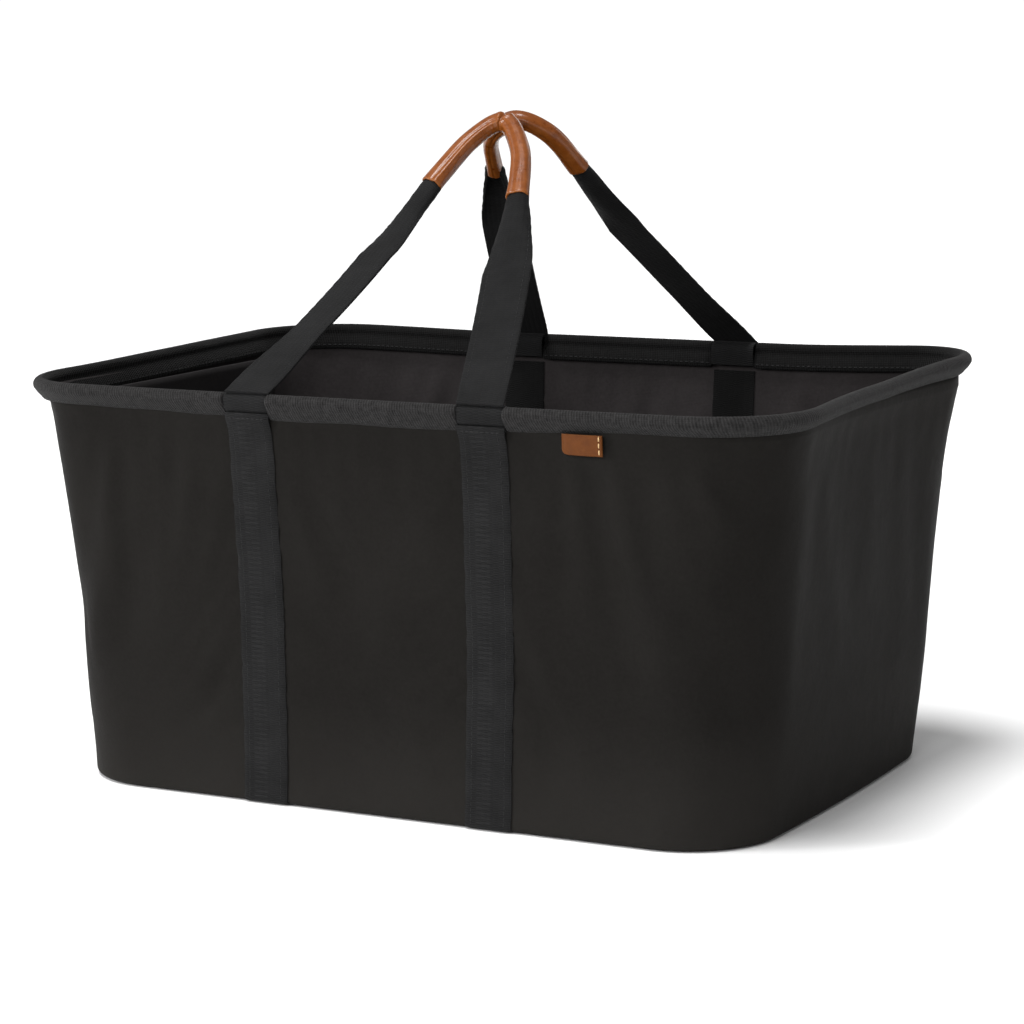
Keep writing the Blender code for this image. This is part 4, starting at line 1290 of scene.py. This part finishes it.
# ------------------------------------------------------------------ label
def label():
    """Leather tag on the front with one rounded lower corner and a row of pale stitches."""
    low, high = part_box("label")
    for corner in (low, high):
        corner.x += LEAN + 0.0030
    high.z += 0.0013
    width, height = high.x - low.x, high.z - low.z
    thick, radius = 0.0015, 0.0038
    cols, rows = 44, 22
    back_y = low.y - 0.0002
    u = np.linspace(0, 1, cols)
    face, back = [], []
    for v in np.linspace(0, 1, rows):        # 0 at the bottom
        z = low.z + v * height
        inset = corner_inset(v * height, radius)
        x = low.x + inset + u * (width - inset)
        edge = np.minimum(np.minimum(u * width, (1 - u) * width), v * height)
        rounding = 0.0006 * (1 - np.minimum(1.0, edge / 0.0010)) ** 2
        groove = 0.00022 * np.exp(-((edge - 0.0019) / 0.00028) ** 2)
        curve = 0.0007 * np.sin(u * math.pi) - 0.0009 * (1 - v) ** 2
        uneven = 0.00018 * noise_at(x * 160, z * 160, 2.0)
        face.append(xyz(x, back_y - thick - curve + rounding + groove - uneven, z))
        back.append(xyz(x, back_y - curve - rounding * 0.3, z))
    face = np.array(face)
    ob = plate("leather_label", face, np.array(back), (0, 2), LABEL)
    fix_normals(ob)
    sharpen(ob, 50)
    register(ob, "rim", replaces=("label",))
    column = int(round((cols - 1) * 0.925))
    stitches = stitch_row(face[1:, column][::-1], [0, -1.0, 0.0], name="label_thread",
                          material=THREAD_PALE, **LABEL_STITCH)
    register(stitches, "rim", replaces=("label_stitch",))


label()


# ------------------------------------------------------------------ end supports
SUPPORT_TILT = math.radians(3.2)
SUPPORT_TOP_X = {"left": 0.2590, "right": 0.2632}        # clear of the fabric, which leans right
SUPPORT_TOP_Z = 0.2720
SUPPORT_HALF, SUPPORT_LENGTH, SUPPORT_THICK = 0.1080, 0.2580, 0.0060
SUPPORT_START = 0.0046                                   # of the panel, below its top line
SUPPORT_CORNER = 0.022


def support_panel(side, sx, top, down, inward):
    """Padded panel with rounded lower corners and a piped edge."""
    u = np.linspace(-1, 1, 61)
    core = SUPPORT_THICK / 2 - 0.0004
    face, back = [], []
    for v in np.linspace(0, 1, 61):
        drop = SUPPORT_START + v * (SUPPORT_LENGTH - SUPPORT_START)
        left = SUPPORT_LENGTH - drop
        half = SUPPORT_HALF - corner_inset(left, SUPPORT_CORNER)
        y = u * half
        margin = np.minimum((1 - np.abs(u)) * half, left)
        edge = np.sqrt(np.maximum(0.0, 1 - (1 - np.minimum(1.0, margin / 0.0032)) ** 2))
        piping = (0.0009 * np.exp(-((margin - 0.0045) / 0.0020) ** 2)
                  - 0.0007 * np.exp(-((margin - 0.0085) / 0.0013) ** 2))
        uneven = (0.0006 * noise_at(y * 16, drop * 16, 3.0 + sx)
                  + 0.0003 * noise_at(y * 50, drop * 45, 7.0 + sx))
        line = top + down * drop + xyz(0.0, y, 0.0)
        face.append(line + np.outer((core + piping + uneven) * edge, inward))
        back.append(line - np.outer((core + (piping - uneven) * 0.6) * edge, inward))
    ob = plate(side + "_support_panel", np.array(face), np.array(back), (1, 2), PANEL)
    fix_normals(ob, merge=0.00002)
    register(ob, side + "_support", replaces=(
        side + "_support_cover", side + "_support_wire", side + "_support_board"))


def pull_tab(side, top, down, inward):
    """Strip of webbing sewn to the panel at its upper end and lifting away below."""
    across = np.linspace(-1, 1, 11)
    thick = 0.0014 * edge_taper(across, power=12)
    drops = np.linspace(0.176, 0.246, 30)
    outer, inner = [], []
    for drop in drops:
        lift = 0.0004 + 0.0035 * smooth((drop - 0.205) / 0.05)
        base = top + down * drop + inward * (SUPPORT_THICK / 2 + 0.0004 + lift)
        line = base + xyz(0.0, across * STRAP_HALF, 0.0)
        inner.append(line)
        outer.append(line + np.outer(thick, inward))
    outer = np.array(outer)
    ob = loft_strap(side + "_tab_webbing", outer, np.array(inner), STRAP_HALF, drops, WEB)
    register(ob, side + "_support", replaces=(side + "_pull_tab",))
    rows = [stitch_row(outer[row, 1:-1], inward, **BAR_STITCH) for row in (3, 8)]
    sew(side + "_tab_stitching", rows, side + "_support")


for side, sx in SIDES:
    sin, cos = math.sin(SUPPORT_TILT), math.cos(SUPPORT_TILT)
    top = np.array([sx * SUPPORT_TOP_X[side], 0.0, SUPPORT_TOP_Z])
    down = np.array([-sx * sin, 0.0, -cos])
    inward = np.array([-sx * cos, 0.0, sin])
    support_panel(side, sx, top, down, inward)
    pull_tab(side, top, down, inward)


# ------------------------------------------------------------------ base board, in lining fabric
def base_insert():
    low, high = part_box("base_board")
    half_x, half_y = high.x - 0.0002, high.y - 0.0002
    radius = BASE_CORNER - 0.0085
    edge = 0.0012                            # rounding of the upper edge

    def ring(share, z, inset=0.0):
        points = outline(half_x - inset, half_y - inset, radius - inset, 0, 0,
                         corner=14, side_x=44, side_y=28) * share
        return np.c_[points, np.full(len(points), z)]

    rings = []
    for share in (0.06, 0.2, 0.35, 0.5, 0.65, 0.8, 0.9, 0.955, 0.985):
        points = ring(share, high.z)
        points[:, 2] += 0.0004 * noise_at(points[:, 0] * 22, points[:, 1] * 22, high.z, 21.0)
        rings.append(points)
    for a in np.radians((0, 30, 60, 90)):
        rings.append(ring(1.0, high.z - edge * (1 - math.cos(a)), edge * (1 - math.sin(a))))
    rings += [ring(share, low.z) for share in (1.0, 0.9, 0.5, 0.1)]
    verts = np.vstack(rings)
    size = len(rings[0])
    faces = tube_faces(len(rings), size)
    faces.append(tuple(range(size)))
    faces.append(tuple(reversed(range(len(verts) - size, len(verts)))))
    ob = make("base_insert", verts, faces, verts[:, :2], (LINING,))
    fix_normals(ob)
    sharpen(ob, 50)
    register(ob, "base", replaces=("base_board",))


base_insert()


# ------------------------------------------------------------------ spring wire inside the tape
def rim_spring():
    radius, outset, sides = 0.0024, 0.0044, 12
    line = rim_line(corner=24, side_x=60, side_y=40)
    angle = TAU * np.arange(sides) / sides
    rings = rim_shift([
        np.c_[point + normal * outset + np.outer(radius * np.cos(angle), normal),
              WIRE_Z + radius * np.sin(angle)]
        for point, normal in zip(line, outward(line))])
    verts = rings.reshape(-1, 3)
    ob = make("rim_spring_wire", verts, tube_faces(len(rings), sides, closed=True),
              verts[:, [0, 2]], (STEEL,))
    fix_normals(ob)
    register(ob, "rim", replaces=("rim_wire",))


rim_spring()


# ------------------------------------------------------------------ floor, light, camera
def floor():
    k = new_material("studio_floor")
    cloud = k.noise(scale=1.2, detail=3.0)
    material = k.surface(color=k.ramp(cloud, {0.3: (0.94, 0.94, 0.94), 0.7: (0.96, 0.96, 0.96)}),
                         rough=0.9, spec=0.05)
    half = 9
    verts = [(-half, -half, 0), (half, -half, 0), (half, half, 0), (-half, half, 0)]
    uv = np.array([[0, 0], [1, 0], [1, 1], [0, 1]], float)
    ob = make("studio_floor", verts, [(0, 1, 2, 3)], uv, (material,), smooth_shade=False)
    ob.location.z = -0.0002


def studio_world():
    """White to the camera; as a light, dimmer to the right of the bag."""
    world = bpy.data.worlds.new("studio")
    bpy.context.scene.world = world
    k = Shader(world)
    white = (1.0, 1.0, 1.0)
    ambient = k.tree.nodes["Background"]
    k.put(ambient.inputs["Color"], white)
    # even level, for when the ramp from left to right is unlinked
    k.put(ambient.inputs["Strength"], 0.55)
    across = k.split(k.coords["Generated"])[0]
    k.put(ambient.inputs["Strength"], k.remap(across, to=(0.36, 0.26), over=(-0.3, 0.8)))
    backdrop = k.node("ShaderNodeBackground", {"Color": white, "Strength": 1.05})
    seen = k.node("ShaderNodeLightPath").outputs["Is Camera Ray"]
    pick = k.node("ShaderNodeMixShader", {0: seen, 1: ambient.outputs[0], 2: backdrop.outputs[0]})
    k.put(k.tree.nodes["World Output"].inputs[0], pick.outputs[0])


def light(name, kind, energy, direction, location=(0, 0, 0), **settings):
    data = bpy.data.lights.new(name, kind)
    data.energy = energy
    for key, value in settings.items():
        setattr(data, key, value)
    ob = bpy.data.objects.new(name, data)
    coll.objects.link(ob)
    ob.location = location
    ob.rotation_euler = Vector(direction).to_track_quat('-Z', 'Y').to_euler()


def area(name, location, target, size, power):
    light(name, 'AREA', energy=power, direction=Vector(target) - Vector(location),
          location=location, shape='RECTANGLE', size=size[0], size_y=size[1])


def camera():
    position = (1.030, -1.921, 0.526)
    yaw, pitch, roll = 0.4895, 0.1577, -0.0123           # radians
    forward = Vector((-math.sin(yaw) * math.cos(pitch), math.cos(yaw) * math.cos(pitch),
                      -math.sin(pitch)))
    level = Vector((math.cos(yaw), math.sin(yaw), 0))
    upright = level.cross(forward)
    right = level * math.cos(roll) + upright * math.sin(roll)
    up = -level * math.sin(roll) + upright * math.cos(roll)
    data = bpy.data.cameras.new("camera")
    data.sensor_width = 36.0
    data.lens = 110.28515625
    ob = bpy.data.objects.new("camera", data)
    coll.objects.link(ob)
    rows = [(right[i], up[i], -forward[i], position[i]) for i in range(3)]
    ob.matrix_world = Matrix((*rows, (0, 0, 0, 1)))
    bpy.context.scene.camera = ob


floor()
studio_world()
light("key", 'SUN', energy=2.75, direction=(0.105, 0.215, -1.0), angle=math.radians(22))
area("front_box", location=(0.3, -2.9, 1.3), target=(0, 0, 0.2), size=(1.5, 1.0), power=36)
area("right_fill", location=(3.0, 0.4, 1.1), target=(0, 0, 0.15), size=(1.6, 1.0), power=4.5)
area("back_fill", location=(-0.6, 3.0, 1.3), target=(0, 0, 0.15), size=(1.6, 1.0), power=11)
area("left_strip", location=(-1.9, -1.8, 1.1), target=(0, -0.1, 0.2), size=(0.4, 1.0), power=30)
camera()
bpy.context.scene.view_settings.view_transform = 'Standard'
bpy.context.scene.view_settings.look = 'None'
